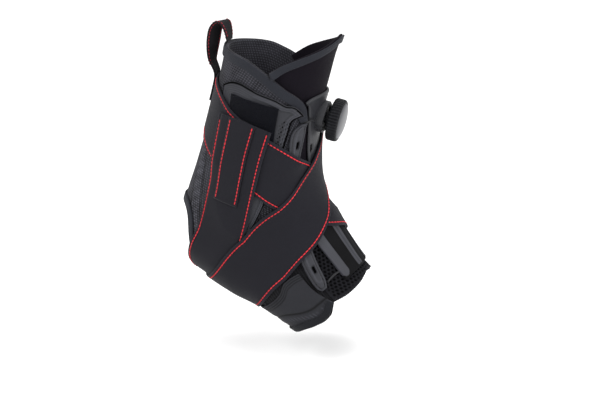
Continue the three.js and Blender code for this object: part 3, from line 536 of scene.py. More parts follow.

# %% [markdown]
# ## One finish for cloth and plastic
#
# Cloth and plastic differ only in a few values here, so one function makes both. A separate node group for
# each kind would repeat nearly all of it. The tone attribute multiplies the colour: it paints light on the
# ribs and shade in the grooves that the mesh has, so that they also show in the flat light of a catalogue
# picture.

# %% A finish
def finish(name, colour, rough, weave=None, sheen=0.0, grain=0.5, bump=0.3, vary=0.12, specular=0.4):
    """A finish: a colour with slow variation, a fine grain in millimetres, and a weave on cloth."""
    made = bpy.data.materials.new(name)
    made.use_nodes = True
    tree = made.node_tree
    shader = tree.nodes["Principled BSDF"]
    shader.inputs["Roughness"].default_value = rough
    shader.inputs["Sheen Weight"].default_value = sheen
    shader.inputs["Sheen Roughness"].default_value = 0.45
    shader.inputs["Specular IOR Level"].default_value = specular
    place = add_node(tree, "ShaderNodeTexCoord").outputs["Object"]
    slow = add_node(tree, "ShaderNodeTexNoise", Vector=place, Scale=45.0, Detail=3.0).outputs["Fac"]
    fine = add_node(tree, "ShaderNodeTexNoise", Vector=place, Scale=1000 / grain, Detail=2.0).outputs["Fac"]
    tone = add_node(tree, "ShaderNodeMapRange", Value=slow, From_Min=0.3, From_Max=0.7).outputs[0]
    height, tone = add_weave(tree, weave, fine, tone) if weave else (fine, tone)
    mix = add_node(tree, "ShaderNodeMix", {"data_type": "RGBA"}, Factor=tone)
    mix.inputs[6].default_value = [c * (1 - vary) for c in colour] + [1]
    mix.inputs[7].default_value = [c * (1 + vary) for c in colour] + [1]
    # The tone attribute scales the colour: painted light on ribs and bars, painted shade in grooves, holes
    # and slots.
    shade = add_node(tree, "ShaderNodeAttribute", {"attribute_name": "tone"}).outputs["Fac"]
    depth = add_math(tree, "ADD", shade, 1.0)
    scale = {"operation": "SCALE"}
    shaded = add_node(tree, "ShaderNodeVectorMath", scale, i0=mix.outputs[2], Scale=depth).outputs[0]
    tree.links.new(shaded, shader.inputs["Base Color"])
    lumps = add_node(tree, "ShaderNodeBump", Height=height, Strength=bump, Distance=0.0004)
    tree.links.new(lumps.outputs[0], shader.inputs["Normal"])
    return made


# A near-black finish for painted shadow in grooves, holes and slots.
painted_shadow_black = finish("painted_shadow_black", (0.002, 0.002, 0.003), 0.9, grain=0.4, bump=0.3, specular=0.04)
print("nodes in the finish of the deep lines:", len(painted_shadow_black.node_tree.nodes))

# %% [markdown]
# ## Dressing a piece and measuring it
#
# The flat size could be typed in, but then it would be wrong after the next change, so it is measured on
# the middle face.

# %% Dressing and measuring
def dress(piece, look, body="brace", replaces=()):
    """Gives a piece its finish and its body, and hides the CAD pieces that it stands for."""
    piece.data.materials.clear()
    piece.data.materials.append(look)
    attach(piece, body)
    if replaces:
        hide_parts(*replaces)
    print(piece.name, len(piece.data.polygons), "faces")
    return piece


def cut_from(grid, lifts):
    """Measures the flat size of a sheet's middle face, which is not used further."""
    face = over(*grid, lifts)
    wide, long = run_length(face, 1)[:, -1].max() * MM, run_length(face, 0)[-1].max() * MM


def paint_shade_and_dark_faces(piece, look=painted_shadow_black):
    """Gives low-tone faces a black finish: painted shadow, and on the stiffener its dark channels too."""
    mesh = piece.data
    mesh.materials.append(look)
    tone = np.empty(len(mesh.vertices), np.float32)
    mesh.attributes["tone"].data.foreach_get("value", tone)
    corner = np.empty(len(mesh.loops), np.int32)
    mesh.loops.foreach_get("vertex_index", corner)
    dark = tone[corner].reshape(-1, 4).mean(1) < -0.5
    mesh.polygons.foreach_set("material_index", dark.astype(np.int32))
    print(piece.name, int(dark.sum()), "faces in shadow lines")


print("bodies that carry the pieces: brace, dial_slider, knob")

# %% [markdown]
# ## The tongue
#
# The tongue is a soft padded panel of spacer mesh over the front, and it flares outward at its top. It
# could be sculpted on a plane, but its outline is what shows, so three tables give it: the top edge, the
# lower edge and the sides. It is laid first, because everything else laps over it.

# %% Tongue
mesh_cloth = finish("mesh_cloth", (0.0046, 0.0036, 0.0058), 0.85, (0.9, 0.9, "knit"), sheen=0.02, bump=0.35,
                    specular=0.05)
TONGUE_WALL = 2.4
TONGUE_FLARE = 1.5
FLARE_DEPTH = 0.7
TONGUE_TOP = [[0, 0.72], [15, 0.87], [35, 1.05], [56, 1.22], [73, 1.38], [88, 1.62]]
TONGUE_END = [[0, 10.4], [15, 10.49], [33, 10.55], [56, 10.5], [80, 10.3]]
TONGUE_SIDE = [[0, 88], [0.08, 74], [0.2, 52], [0.4, 46], [0.7, 62], [1, 80]]
TIP_ROUNDING = 7
down, across = np.meshgrid(spread(250, 1.6), spread(90, 1.2), indexing="ij")
tongue_turn = read(TONGUE_SIDE, down) * (2 * across - 1)
beside = np.hypot(tongue_turn, TIP_ROUNDING)
tops, ends = read(TONGUE_TOP, beside), read(TONGUE_END, beside)
tongue_station = tops + (ends - tops) * down
near_top = np.clip(1 - (tongue_station - tops) / FLARE_DEPTH, 0, 1)
flare = TONGUE_FLARE * near_top ** 2 * np.cos(np.radians(tongue_turn)) ** 2
tongue_lift = relief_at(tongue_station, tongue_turn) + PLY_GAP + flare
tongue = ply("tongue_panel", (tongue_station, tongue_turn), tongue_lift, TONGUE_WALL)
dress(tongue, mesh_cloth, replaces=["tongue"])

# %% [markdown]
# ## The boot's outline
#
# The padded boot is knitted in one piece, open at the front, with a round opening at its lower back. The
# opening could be cut with a boolean, but its rim would come out ragged. So the points just inside its
# outline move out onto it, and only whole cells are left out.

# %% Boot outline
LINER_WALL = 3
BODY_TOP = [[30, 2.89], [37, 2.5], [45, 2.28], [63, 1.99], [83, 1.63], [96, 1.45], [115, 1.25], [146, 1.12],
            [180, 1.05]]
BODY_END = [[68, 10.22], [76, 10.38], [90, 10.56], [104, 10.48], [117, 10.34], [141, 10.2], [180, 10.1]]
BODY_SIDE = [[0, 30], [0.2, 34], [0.45, 44], [0.7, 52], [0.85, 60], [1, 68]]
HOLE_STATION, HOLE_HEIGHT, HOLE_TURN = 5.78, 0.93, 40
UPPER_POWER, LOWER_POWER = 3, 2.2

down, across = np.meshgrid(spread(250, 1.7), spread(230, 1.7), indexing="ij")
side = read(BODY_SIDE, down)
body_turn = side + (360 - 2 * side) * across
tops, ends = read(BODY_TOP, mirrored(body_turn)), read(BODY_END, mirrored(body_turn))
body_station = tops + (ends - tops) * down

hole_u = (HOLE_STATION - body_station) / HOLE_HEIGHT
hole_v = (body_turn - 180) / HOLE_TURN
hole_power = np.where(hole_u > 0, UPPER_POWER, LOWER_POWER)
fill = abs(hole_u) ** hole_power + abs(hole_v) ** hole_power
inside = fill < 1
keep = ~(inside[1:, 1:] & inside[:-1, :-1] & inside[1:, :-1] & inside[:-1, 1:])
grow = np.where(inside & (fill > 0.6), np.maximum(fill, 0.1) ** (-1 / hole_power), 1)
body_station = HOLE_STATION - hole_u * grow * HOLE_HEIGHT
body_turn = 180 + hole_v * grow * HOLE_TURN
print("cells left out for the opening:", int((~keep).sum()))

# %% [markdown]
# ## The boot's knit
#
# The knit shows as small even bumps, which the finish makes, with painted shade in their hollows. The
# larger forms in it are real depth on the boot: a sewn seam down each side of the back, with a ladder of
# raised bars beside it. They could be loose strips, but the real ones are knitted in, so here they raise the
# upper face and lighten it on the bars, which is painted light; the seams are darkened, painted shade.

# %% Boot knit
knit_cloth = finish("boot_knit", (0.027, 0.027, 0.033), 0.9, (2.5, 2.1, "knit"), sheen=0.04, bump=1.0,
                    vary=0.88, specular=0.12)
SEAM_STATIONS, SEAM_TURNS = [3.2, 3.68, 4.71, 5.6], [146, 141.5, 129, 126]
LADDER_PITCH = 3.4
SMOOTH_FROM = 7.2


def bump_at(value, place, width, power=2):
    """A smooth hump round a place."""
    return np.exp(-abs((value - place) / width) ** power)


body_lift = draw_tight(relief_at(body_station, body_turn) + PLY_GAP, 90)
seam = np.interp(body_station, SEAM_STATIONS, SEAM_TURNS)
beside_seam = mirrored(body_turn) - seam
run = run_length(over(body_station, body_turn, body_lift), 0)
low_enough = body_station > SEAM_STATIONS[0]
ladder = (beside_seam > 2) * (beside_seam < 15) * low_enough
rungs = (0.5 + 0.5 * np.cos(run * 2 * math.pi / LADDER_PITCH)) * ladder
seam_line = (bump_at(beside_seam, 0, 1.0) + bump_at(beside_seam, 16, 0.8)) * low_enough
plain = np.clip((body_station - SMOOTH_FROM) / 0.3, 0, 1)
# Tone: the ladder's bars lighter, painted light; the seam lines darker, painted shade; darker below
# SMOOTH_FROM.
boot = ply("boot_knit_body", (body_station, body_turn), body_lift, LINER_WALL, keep=keep,
           relief_on_top=0.5 * rungs - 0.5 * seam_line,
           tone=np.clip(0.7 * rungs - 0.9 * seam_line - 0.75 * plain, -0.9, 1))
dress(boot, knit_cloth, replaces=["boot_body"])

# %% [markdown]
# ## Edge tapes
#
# The cut edges are bound with a folded tape, which stands a little over the cloth. A real fold round the
# edge would put three layers there that nobody sees. A strip of its own on the upper face looks the
# same and lies well under the straps.

# %% Edge tapes
tape_cloth = finish("binding_tape", (0.012, 0.013, 0.0175), 0.85, (0.7, 0.5, "twill"), sheen=0.05, bump=0.35,
                    specular=0.15)
TAPE_WALL = 1.3


def bind(name, grid, replaces, closed=False, tone=None):
    """A tape along an edge."""
    lifts = draw_tight(relief_at(*grid) + PLY_GAP, 20, closed)
    piece = ply(name, grid, lifts, TAPE_WALL, closed=closed, tone=tone)
    return dress(piece, tape_cloth, replaces=[replaces])


def hole_rim(angle, grow):
    """A ring of places round the opening, as large as its outline times grow."""
    c, s = np.cos(angle), np.sin(angle)
    power = np.where(c > 0, UPPER_POWER, LOWER_POWER)
    up, aside = (np.sign(v) * abs(v) ** (2 / power) for v in (c, s))
    return np.stack([HOLE_STATION - HOLE_HEIGHT * grow * up, 180 - HOLE_TURN * grow * aside], -1)


angle = np.linspace(0, 2 * math.pi, 181)
rings = np.stack([hole_rim(angle[:-1], 1 + grow) for grow in np.linspace(-0.02, 0.17, 9)], 1)
bind("heel_tape", (rings[..., 0], rings[..., 1]), "heel_binding", closed=True)
bind("quarter_tape", edge_lane(BODY_TOP, (330, 30), 8), "quarter_binding")
bind("tongue_tape", edge_lane(TONGUE_TOP, (84, -84), 6, rounding=TIP_ROUNDING), "tongue_binding")

# %% [markdown]
# ## The cuff
#
# A smooth stretch cuff closes round the lower end of the boot. It has three stitched lines at its upper
# edge, and a seam with a row of small knitted bars over the bound end. Thread pieces would be finer than a
# pixel here, so the lines are shallow grooves, darkened with painted shade, and the bars a low relief,
# lightened with painted light.

# %% Cuff
smooth_cloth = finish("smooth_cloth", (0.0145, 0.0148, 0.018), 0.85, (0.6, 0.6, "twill"), sheen=0.05,
                      bump=0.3, specular=0.15)
WRAP_WALL = 2
WRAP_TOP = [[64, 8.9], [90, 8.76], [101, 9], [115, 9.07], [140, 9], [180, 8.85]]
WRAP_SIDE = [[0, 78], [0.5, 80], [1, 76]]
CUFF_SEAM = [[64, 10.1], [75, 10.1], [95, 10.02], [119, 9.63], [134, 9.52], [180, 9.5]]
STATION_LENGTH = 17
MARK_PITCH = 2.8


def ribs(distance, first, pitch, count, height, width):
    """Fine parallel ribs, from the distance to a border."""
    return sum(height * np.exp(-((distance - first - k * pitch) / width) ** 2) for k in range(count))


down, across = np.meshgrid(spread(50, 0.7), spread(180, 0.9), indexing="ij")
side = read(WRAP_SIDE, down)
wrap_turn = side + (360 - 2 * side) * across
tops, ends = read(WRAP_TOP, mirrored(wrap_turn)), read(BODY_END, mirrored(wrap_turn)) - 0.06
wrap_station = tops + (ends - tops) * down
wrap_place = over(wrap_station, wrap_turn, np.full(wrap_turn.shape, 5.0))
past_seam = (wrap_station - read(CUFF_SEAM, mirrored(wrap_turn))) * STATION_LENGTH
bars = (0.5 + 0.5 * np.cos(run_length(wrap_place, 1) * 2 * math.pi / MARK_PITCH)) ** 2
knit_marks = bump_at(past_seam, 3.6, 1.3, 4) * bars
cuff_lines = bump_at(past_seam, 0, 0.7) + 0.8 * ribs(run_length(wrap_place, 0), 1.6, 2.0, 3, 1, 0.5)
wrap_lift = draw_tight(relief_at(wrap_station, wrap_turn) + PLY_GAP)
# Tone: the knitted bars lighter, painted light; the stitched grooves darker, painted shade.
cuff = ply("foot_cuff", (wrap_station, wrap_turn), wrap_lift, WRAP_WALL,
           relief_on_top=0.3 * knit_marks - 0.45 * cuff_lines,
           tone=np.clip(1.1 * knit_marks - 0.85 * cuff_lines, -0.9, 1.2))
dress(cuff, smooth_cloth, replaces=["foot_wrap"])
cut_from((wrap_station, wrap_turn), np.full(wrap_turn.shape, 4.5))
cuff_edge = [[turn, station - 0.03] for turn, station in BODY_END]
bind("foot_tape", edge_lane(cuff_edge, (76, 284), 6), "foot_binding", tone=-0.55)

# %% [markdown]
# ## Overlays
#
# A moulded overlay guards each side. Its border is ribbed, its front has a field of small holes, and towards
# the back more ribs fan out. A displacement texture could give all that, but not crisp edges at this size.
# So the ribs are humps of the distance to the border, which the mesh is fine enough to carry.

# %% Overlays
moulded = finish("moulded_shell", (0.0195, 0.02, 0.0245), 0.6, grain=0.5, bump=0.25, specular=0.2)
SHELL_WALL = 1.8
SHELL_TOP = [[36, 2.74], [44, 2.52], [52, 2.38], [60, 2.34], [72, 2.18], [91, 2.02], [101, 1.92], [113, 1.82],
             [125, 1.81], [138, 1.91]]
SHELL_END = 6.2
SHELL_FRONT = [[0, 38], [0.05, 44], [0.1, 48.5], [0.2, 49.5], [0.5, 54], [0.75, 65], [0.9, 75], [1, 84]]
SHELL_BACK = [[0, 138], [0.3, 128], [0.6, 113], [0.85, 101], [1, 92]]
RIB_PITCH = 1.8


def edge_distance(grid, lift=5):
    """How far each place of a grid lies inside the nearest edge."""
    points = over(*grid, np.full(grid[0].shape, lift))
    away = []
    for axis in (0, 1):
        run = run_length(points, axis)
        away += [run, np.take(run, [-1], axis) - run]
    return np.min(away, axis=0)


def holes(u, v, pitch, radius):
    """Round holes on a staggered grid of places in millimetres."""
    row = np.round(v / (pitch * 0.866))
    centre_u = (np.round(u / pitch - 0.5 * (row % 2)) + 0.5 * (row % 2)) * pitch
    away = np.hypot(u - centre_u, v - row * pitch * 0.866)
    return 1 / (1 + np.exp((away - radius) * 6))


def overlay(word, sign):
    """The moulded overlay of one side."""
    down, across = np.meshgrid(spread(95, 0.55), spread(85, 0.55), indexing="ij")
    front, back = read(SHELL_FRONT, down), read(SHELL_BACK, down)
    turn = front + (back - front) * across
    tops = read(SHELL_TOP, turn)
    station = tops + (SHELL_END - tops) * down
    far = edge_distance((station, turn))
    points = over(station, turn, np.full(turn.shape, 5.0))
    along, beside = run_length(points, 0), run_length(points, 1)
    fan = np.clip((turn - 92) / 8, 0, 1) * np.clip((16 - far) / 4, 0, 1)
    trim = ribs(far, 2.9, RIB_PITCH, 2, 0.6, 0.45) + ribs(far, 6.6, RIB_PITCH, 6, 0.45, 0.45) * fan
    line = bump_at(far, 1.2, 0.75) + 0.4 * bump_at(far, 6.6, 0.5) * (1 - fan)
    pierced = holes(beside, along, 2.6, 0.55) * (turn < 61) * (turn > 48) * (station > 2.75) * (station < 3.9)
    # Painted light and shade: border ribs lighter; the gaps between fanned ribs, the groove line and the
    # holes darker.
    shade = (0.8 * ribs(far, 2.9, RIB_PITCH, 2, 1, 0.45)
             + (0.9 * ribs(far, 6.6, RIB_PITCH, 6, 1, 0.45) - 0.3) * fan - 0.9 * line - 0.85 * pierced)
    lifts = draw_tight(relief_at(station, sign * turn) + PLY_GAP, 60)
    shell = ply("ankle_overlay_" + word, (station, sign * turn), lifts, SHELL_WALL,
                relief_on_top=trim - 0.6 * line - 0.8 * pierced, tone=np.clip(shade, -0.9, 0.9))
    dress(shell, moulded, replaces=["ankle_shell_" + word])
    paint_shade_and_dark_faces(shell)


print("overlays reach from station", SHELL_TOP[-2][1], "to", SHELL_END)

# %% [markdown]
# ## Pile patches
#
# In each overlay sits a patch of looped pile, which the end of a strap grips. Hair could show its loops one
# by one, but they are far under a pixel, and the patch reads as a dark, dull, slightly ribbed cloth. So it
# is a flat ply with four corners and a rough finish.

# %% Pile patches
pile = finish("loop_pile", (0.0016, 0.0018, 0.0036), 1.0, (0.5, 0.5, "rib"), sheen=0.03, grain=0.25, bump=1.0,
              vary=0.5, specular=0.05)
PATCH_WALL = 1.3
PATCH_CORNERS = np.array([[2.39, 66], [2.08, 119.5], [3.75, 61], [3.9, 112]], float)
SIDES = (("outer", 1), ("inner", -1))


def pile_patch(word, sign):
    """The patch on the overlay of one side."""
    down, across = np.meshgrid(spread(48, 1.2), spread(42, 1.2), indexing="ij")
    weights = ((1 - down) * (1 - across), (1 - down) * across, down * (1 - across), down * across)
    station, turn = sum(corner[:, None, None] * w for corner, w in zip(PATCH_CORNERS, weights))
    lifts = draw_tight(relief_at(station, sign * turn) + PLY_GAP, 20)
    patch = ply("pile_" + word, (station, sign * turn), lifts, PATCH_WALL)
    dress(patch, pile, replaces=["pile_patch_" + word])
    cut_from((station, sign * turn), lifts + PATCH_WALL / 2)


for word, sign in SIDES:
    overlay(word, sign)
    pile_patch(word, sign)

# %% [markdown]
# ## The open mesh on the tongue
#
# Low on the tongue lies a panel of open mesh, and its holes show as black dots in a grey lattice. Cutting
# some hundreds of holes would cost many faces for openings that only show dark cloth behind them. So each
# hole is a dimple with a black floor: painted shade that stands in for the dark cloth in shadow behind it.

# %% Mesh panel
panel_mesh = finish("panel_mesh", (0.0044, 0.0044, 0.0054), 0.85, (0.9, 0.9, "knit"), sheen=0.02, bump=0.4,
                    specular=0.06)
PANEL_WALL = 1.0
PANEL_TOP = 6.9
PANEL_TURNS = (60, 74)
down, across = np.meshgrid(spread(75, 0.62), spread(105, 0.62), indexing="ij")
turn = (PANEL_TURNS[0] + (PANEL_TURNS[1] - PANEL_TURNS[0]) * down) * (2 * across - 1)
station = PANEL_TOP + (read(TONGUE_END, np.hypot(turn, TIP_ROUNDING)) - 0.02 - PANEL_TOP) * down
points = over(station, turn, np.full(turn.shape, 3.0))
inner_part = np.clip(edge_distance((station, turn)) - 1.5, 0, 1)
open_mesh = holes(run_length(points, 1), run_length(points, 0), 3.6, 1.2) * inner_part
lifts = relief_at(station, turn) + 0.15
# The hole floors are darkened to near black, painted shade; the lattice keeps a lighter tone of its own.
panel = ply("instep_mesh_panel", (station, turn), lifts, PANEL_WALL, relief_on_top=-0.75 * open_mesh,
            tone=0.7 - 1.65 * open_mesh)
dress(panel, panel_mesh)
paint_shade_and_dark_faces(panel)
cut_from((station, turn), lifts + PANEL_WALL / 2)

# %% [markdown]
# ## The stiffener
#
# Over the instep lies a stiffener, so that the lace doesn't press: grey moulded ribs with dark channels
# between them. The ribs could be bars of their own, but they are moulded in one piece with the plate. One
# table across the plate gives their profile, and what lies between them gets the dark finish.

# %% Stiffener
channel_black = finish("channel_black", (0.0145, 0.0145, 0.017), 0.7, grain=0.5, bump=0.25, vary=0.3,
                       specular=0.06)
STIFFENER_WALL = 2
STIFFENER_STATIONS = [7.1, 10.12]
STIFFENER_SIDE = [[0, 44], [0.6, 45], [1, 46]]
STIFFENER_RIBS = [[0, 0], [0.15, 0], [0.2, 1], [0.38, 1], [0.43, 0], [0.71, 0], [0.76, 1], [1, 1]]
RIB_RISE = 0.8
RIB_END = 0.985
down, across = np.meshgrid(spread(75, 0.9), spread(70, 0.55), indexing="ij")
share = abs(2 * across - 1)
turn = read(STIFFENER_SIDE, down) * (2 * across - 1)
station = STIFFENER_STATIONS[0] + (STIFFENER_STATIONS[1] - STIFFENER_STATIONS[0]) * down
rounded = down + 0.05 * ((share - 0.88) / 0.12) ** 2 * (share > 0.7)
rib = np.interp(share, *np.array(STIFFENER_RIBS).T) * np.clip((RIB_END - rounded) / 0.012, 0, 1)
crease = bump_at(share, 0.3, 0.02) * 0.3
lifts = draw_tight(relief_at(station, turn) + PLY_GAP, 30)
# Tone: channels darker cloth and ribs lighter grey, their own colours; the ribs' crease and edges darker,
# painted shade.
stiffener = ply("instep_ribs", (station, turn), lifts, STIFFENER_WALL,
                relief_on_top=RIB_RISE * rib - crease * rib,
                tone=-0.72 * (1 - rib) + rib * 0.4 - 2 * crease * rib - 0.9 * bump_at(rib, 0.5, 0.3))
dress(stiffener, moulded, replaces=["instep_stiffener"])
paint_shade_and_dark_faces(stiffener, channel_black)

# %% [markdown]
# ## Lace guides
#
# The lace turns back in four moulded guides on the boot's front edges. Each has a thin border line, a raised
# horseshoe and a slot. They could be built from bent tubes and blocks, but the parts would have to be joined
# smoothly. As humps and dents of one thick ply they run into each other as a moulding does.

# %% Lace guides
GUIDE_WALL = 3
GUIDE_LENGTH, GUIDE_WIDTH = 38, 12
UPPER_GUIDE = ([2.88, 4.25], [[0, 33], [0.3, 32], [1, 35]],
               [[0, 39.5], [0.1, 44.5], [0.25, 47], [0.6, 46.5], [1, 46]])
LOWER_GUIDE = ([8.2, 9.84], [[0, 52], [0.5, 59], [0.85, 64], [1, 68.5]],
               [[0, 65], [0.25, 69.5], [0.7, 75.5], [0.9, 76.5], [1, 74.5]])
SLOT_ACROSS = 0.42


def lace_guide(level, word, sign, ends, front, back):
    """One guide between its front and back edges, from one station to another."""
    down, across = np.meshgrid(spread(GUIDE_LENGTH, 0.6), spread(GUIDE_WIDTH, 0.5), indexing="ij")
    left, right = read(front, down), read(back, down)
    turn = left + (right - left) * across
    station = ends[0] + (ends[1] - ends[0]) * down
    far = edge_distance((station, turn))
    slot = bump_at(down, 0.5, 0.1, 4) * bump_at(across, SLOT_ACROSS, 0.11, 4)
    rim = bump_at(far, 2.0, 0.45) * 0.9
    reach = np.hypot((across - SLOT_ACROSS) * GUIDE_WIDTH, np.maximum(down - 0.74, 0) * GUIDE_LENGTH)
    horseshoe = bump_at(reach, 2.6, 0.5) * (down > 0.06) * (far > 2.4)
    lifts = draw_tight(relief_at(station, sign * turn) + PLY_GAP, 20)
    # Tone: the horseshoe lighter, painted light; the slot and the border line darker, painted shade, black
    # where darkest.
    guide = ply(f"{level}_lace_guide_{word}", (station, sign * turn), lifts, GUIDE_WALL, radius=1.2,
                relief_on_top=0.45 * horseshoe - 1.8 * slot - 0.5 * rim,
                tone=np.clip(0.1 + 0.6 * horseshoe - 1.0 * slot - 0.85 * rim, -0.92, 1))
    dress(guide, moulded, replaces=[f"{level}_guide_{word}"])
    paint_shade_and_dark_faces(guide)


for level, outline in (("upper", UPPER_GUIDE), ("lower", LOWER_GUIDE)):
    for word, sign in SIDES:
        lace_guide(level, word, sign, *outline)

# %% [markdown]
# ## The dial's axis
#
# The dial winds the lace. It stands straight out of the front, so its axis is the last's own direction
# there. The axis could be copied from the CAD as numbers, but measured from the knob's box it follows the
# CAD when that changes.

# %% The dial's axis
DIAL_STATION = 2.93
KNOB_BACK = 7.9
KNOB_FACE = 17.4
axis = outward(np.array(DIAL_STATION), FRONT)
box_low, box_high = (np.array(v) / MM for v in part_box("dial_knob"))
dial_foot = (box_low + box_high) / 2 - axis * (KNOB_BACK + KNOB_FACE) / 2
side_axis = np.array([0.0, 1.0, 0.0])
up_axis = np.cross(axis, side_axis)
print("dial foot:", dial_foot.round(2), "axis:", axis.round(4))

# %% [markdown]
# ## Turning on a lathe
#
# Housing, knob, cap and spindle are all turned pieces. Blender's screw modifier spins a profile too, but it
# can't cut grips. Here each row of the profile is a ring, and a wave moves the radius in and out on the
# rows that are gripped, as a knurling wheel does.

# %% Turned pieces
def ring_faces(rows, sides):
    """Quads between neighbouring rings of points."""
    i, j = (v.ravel() for v in np.meshgrid(np.arange(rows - 1), np.arange(sides), indexing="ij"))
    k = (j + 1) % sides
    return np.stack([i * sides + j, (i + 1) * sides + j, (i + 1) * sides + k, i * sides + k], 1)


def ring_caps(rows, sides):
    """The faces that close the first and the last ring."""
    return [list(range(sides))[::-1], [(rows - 1) * sides + j for j in range(sides)]]


def turned(name, profile, grooves=0, depth=0.0, steps=192, grip=None):
    """A closed turned piece from (radius, height) places, with grooves where grip says so."""
    profile = np.array(profile, float)
    angle = np.linspace(0, 2 * math.pi, steps, endpoint=False)
    grip = np.zeros(len(profile)) if grip is None else np.array(grip, float)
    wave = 0.5 + 0.5 * np.cos(angle * grooves)
    radius = profile[:, 0][:, None] - depth * grip[:, None] * wave[None, :] ** 2
    ring = np.cos(angle)[:, None] * side_axis + np.sin(angle)[:, None] * up_axis
    points = dial_foot + axis * profile[:, 1][:, None, None] + radius[..., None] * ring
    rows = len(profile)
    return solid(name, points.reshape(-1, 3), ring_faces(rows, steps), extra=ring_caps(rows, steps))


print("faces of a turned piece of 12 rows:", len(ring_faces(12, 192)) + 2)

# %% [markdown]
# ## The dial's plate
#
# A moulded plate on the tongue carries the dial. It hangs down on both sides like a bib, with a slot in each
# tail. It could be a block cut to shape, but it is thin and follows the tongue, so it is a ply too, pressed
# in under the housing where the spindle goes.

# %% Dial plate
dial_plastic = finish("dial_plastic", (0.0118, 0.0122, 0.0152), 0.5, grain=0.4, bump=0.2, specular=0.35)
PLATE_WALL = 2.4
PLATE_TOP = [[0, 2.27], [11, 2.27], [30, 2.3], [41, 2.34]]
PLATE_END = 4.5
PLATE_SIDE = [[0, 40.5], [0.1, 32.5], [0.25, 27], [0.5, 22.5], [0.8, 20], [1, 18.5]]
WELL_RADIUS = 7
down, across = np.meshgrid(spread(68, 0.9), spread(45, 0.7), indexing="ij")
turn = read(PLATE_SIDE, down) * (2 * across - 1)
tops = read(PLATE_TOP, abs(turn))
station = tops + (PLATE_END - tops) * down
lifts = draw_tight(relief_at(station, turn) + PLY_GAP, 60)
border = bump_at(edge_distance((station, turn)), 2.2, 0.6)
from_foot = over(station, turn, lifts) - dial_foot
from_axis = np.linalg.norm(from_foot - (from_foot @ axis)[..., None] * axis, axis=-1)
# The tail slots are dents whose floor is darkened to black: painted shade where the real slots open.
opening = np.exp(-((down - 0.72) / 0.06) ** 4 - ((abs(turn) - 15) / 2.5) ** 4)
plate = ply("dial_plate_shell", (station, turn), lifts, PLATE_WALL, radius=1.5,
            relief_on_top=0.3 * border - 1.6 * opening - 1.2 * (from_axis < WELL_RADIUS),
            tone=-0.92 * opening)
dress(plate, dial_plastic, replaces=["dial_plate"])
paint_shade_and_dark_faces(plate)

# %% [markdown]
# ## The housing
#
# The housing is a low ring with twelve notches, and the spindle slides in its bore when the dial is pushed
# home. The bore could be left out, since the knob hides it, but then the spindle would cut through the
# housing's floor as it moves. So the profile turns in at the top and runs down to a floor below it.

# %% Housing
HOUSING_RADIUS = 13.5
HOUSING_HEIGHT = 4.5
HOUSING_ROOT = -5.5
BORE_RADIUS = 5.6
BORE_FLOOR = -0.6
R, H = HOUSING_RADIUS, HOUSING_HEIGHT
housing = turned("dial_housing", [
    (R - 0.2, HOUSING_ROOT), (R, HOUSING_ROOT + 0.3), (R, H - 1.0), (R - 0.3, H - 0.3), (R - 1, H),
    (R - 2.2, H), (R - 2.5, H - 0.5), (R - 2.6, H - 1.6), (6.2, H - 1.6), (5.7, H - 1.9),
    (BORE_RADIUS, H - 2.4), (BORE_RADIUS, BORE_FLOOR)], grooves=12, depth=0.5,
    grip=[0, 0, 1, 1, 1, 0, 0, 0, 0, 0, 0, 0])
dress(housing, dial_plastic)

# %% [markdown]
# ## Knob and cap
#
# The knob is what is turned: a disc with 44 flutes and a slightly domed cap let into its face. A
# cylinder with a bevel would lack the fluting, which is what makes it read as a dial. The cap is a piece of
# its own, because it is another plastic with a soft shine, and its colour is made lighter than that
# plastic's: in part a painted highlight.

# %% Knob and cap
knob_plastic = finish("knob_plastic", (0.0036, 0.0038, 0.0052), 0.45, grain=0.4, bump=0.15, specular=0.13)
# The cap's colour is lighter than its plastic would be: in part a painted highlight.
cap_plastic = finish("cap_plastic", (0.046, 0.047, 0.053), 0.34, grain=0.5, bump=0.08, specular=0.45)
KNOB_RADIUS = 18
CAP_RADIUS = 15
CAP_TOP = 20.0
AXIS_RADIUS = 0.3
K, C, LOW, TOP = KNOB_RADIUS, CAP_RADIUS, KNOB_BACK, KNOB_FACE
knob = turned("dial_grip", [
    (5.6, LOW + 0.5), (C - 2, LOW), (K - 1.6, LOW), (K - 0.5, LOW + 0.5), (K, LOW + 1.6), (K, LOW + 4),
    (K, TOP - 2.4), (K - 0.4, TOP - 1.0), (K - 1.2, TOP - 0.3), (K - 2.2, TOP), (C + 0.4, TOP),
    (C + 0.25, TOP - 0.6), (C, TOP - 1.4), (5.6, TOP - 1.4)], grooves=44, depth=0.9, steps=528,
    grip=[0, 0, 0.4, 1, 1, 1, 1, 0.9, 0.3, 0, 0, 0, 0, 0])
dress(knob, knob_plastic, body="knob", replaces=["dial_knob"])
dome = [(C * math.sin(a), TOP - 0.4 + (CAP_TOP - TOP + 0.4) * math.cos(a))
        for a in np.linspace(1.45, 0.02, 24)]
cap = turned("dial_face", [(AXIS_RADIUS, TOP - 1.2), (C - 0.1, TOP - 1.2), (C, TOP - 0.6)] + dome)
dress(cap, cap_plastic, body="knob", replaces=["dial_cap"])

# %% [markdown]
# ## The spindle
#
# The spindle carries the knob: it slides in the bore, and the knob turns on it. A plain cylinder would do as
# well, because it hardly shows. Its sixteen splines cost nothing, since the grip rows that flute the knob
# cut them too.

# %% Spindle
STEM_RADIUS = 5
STEM_TOP = 12.9
STEM_FOOT = 2.35
S = STEM_RADIUS
stem = turned("dial_spindle", [
    (AXIS_RADIUS, STEM_FOOT), (S - 0.4, STEM_FOOT), (S, STEM_FOOT + 0.4), (S, STEM_TOP - 0.4),
    (S - 0.4, STEM_TOP), (AXIS_RADIUS, STEM_TOP)], grooves=16, depth=0.35, grip=[0, 0, 1, 1, 0, 0])
dress(stem, dial_plastic, body="dial_slider", replaces=["dial_stem"])

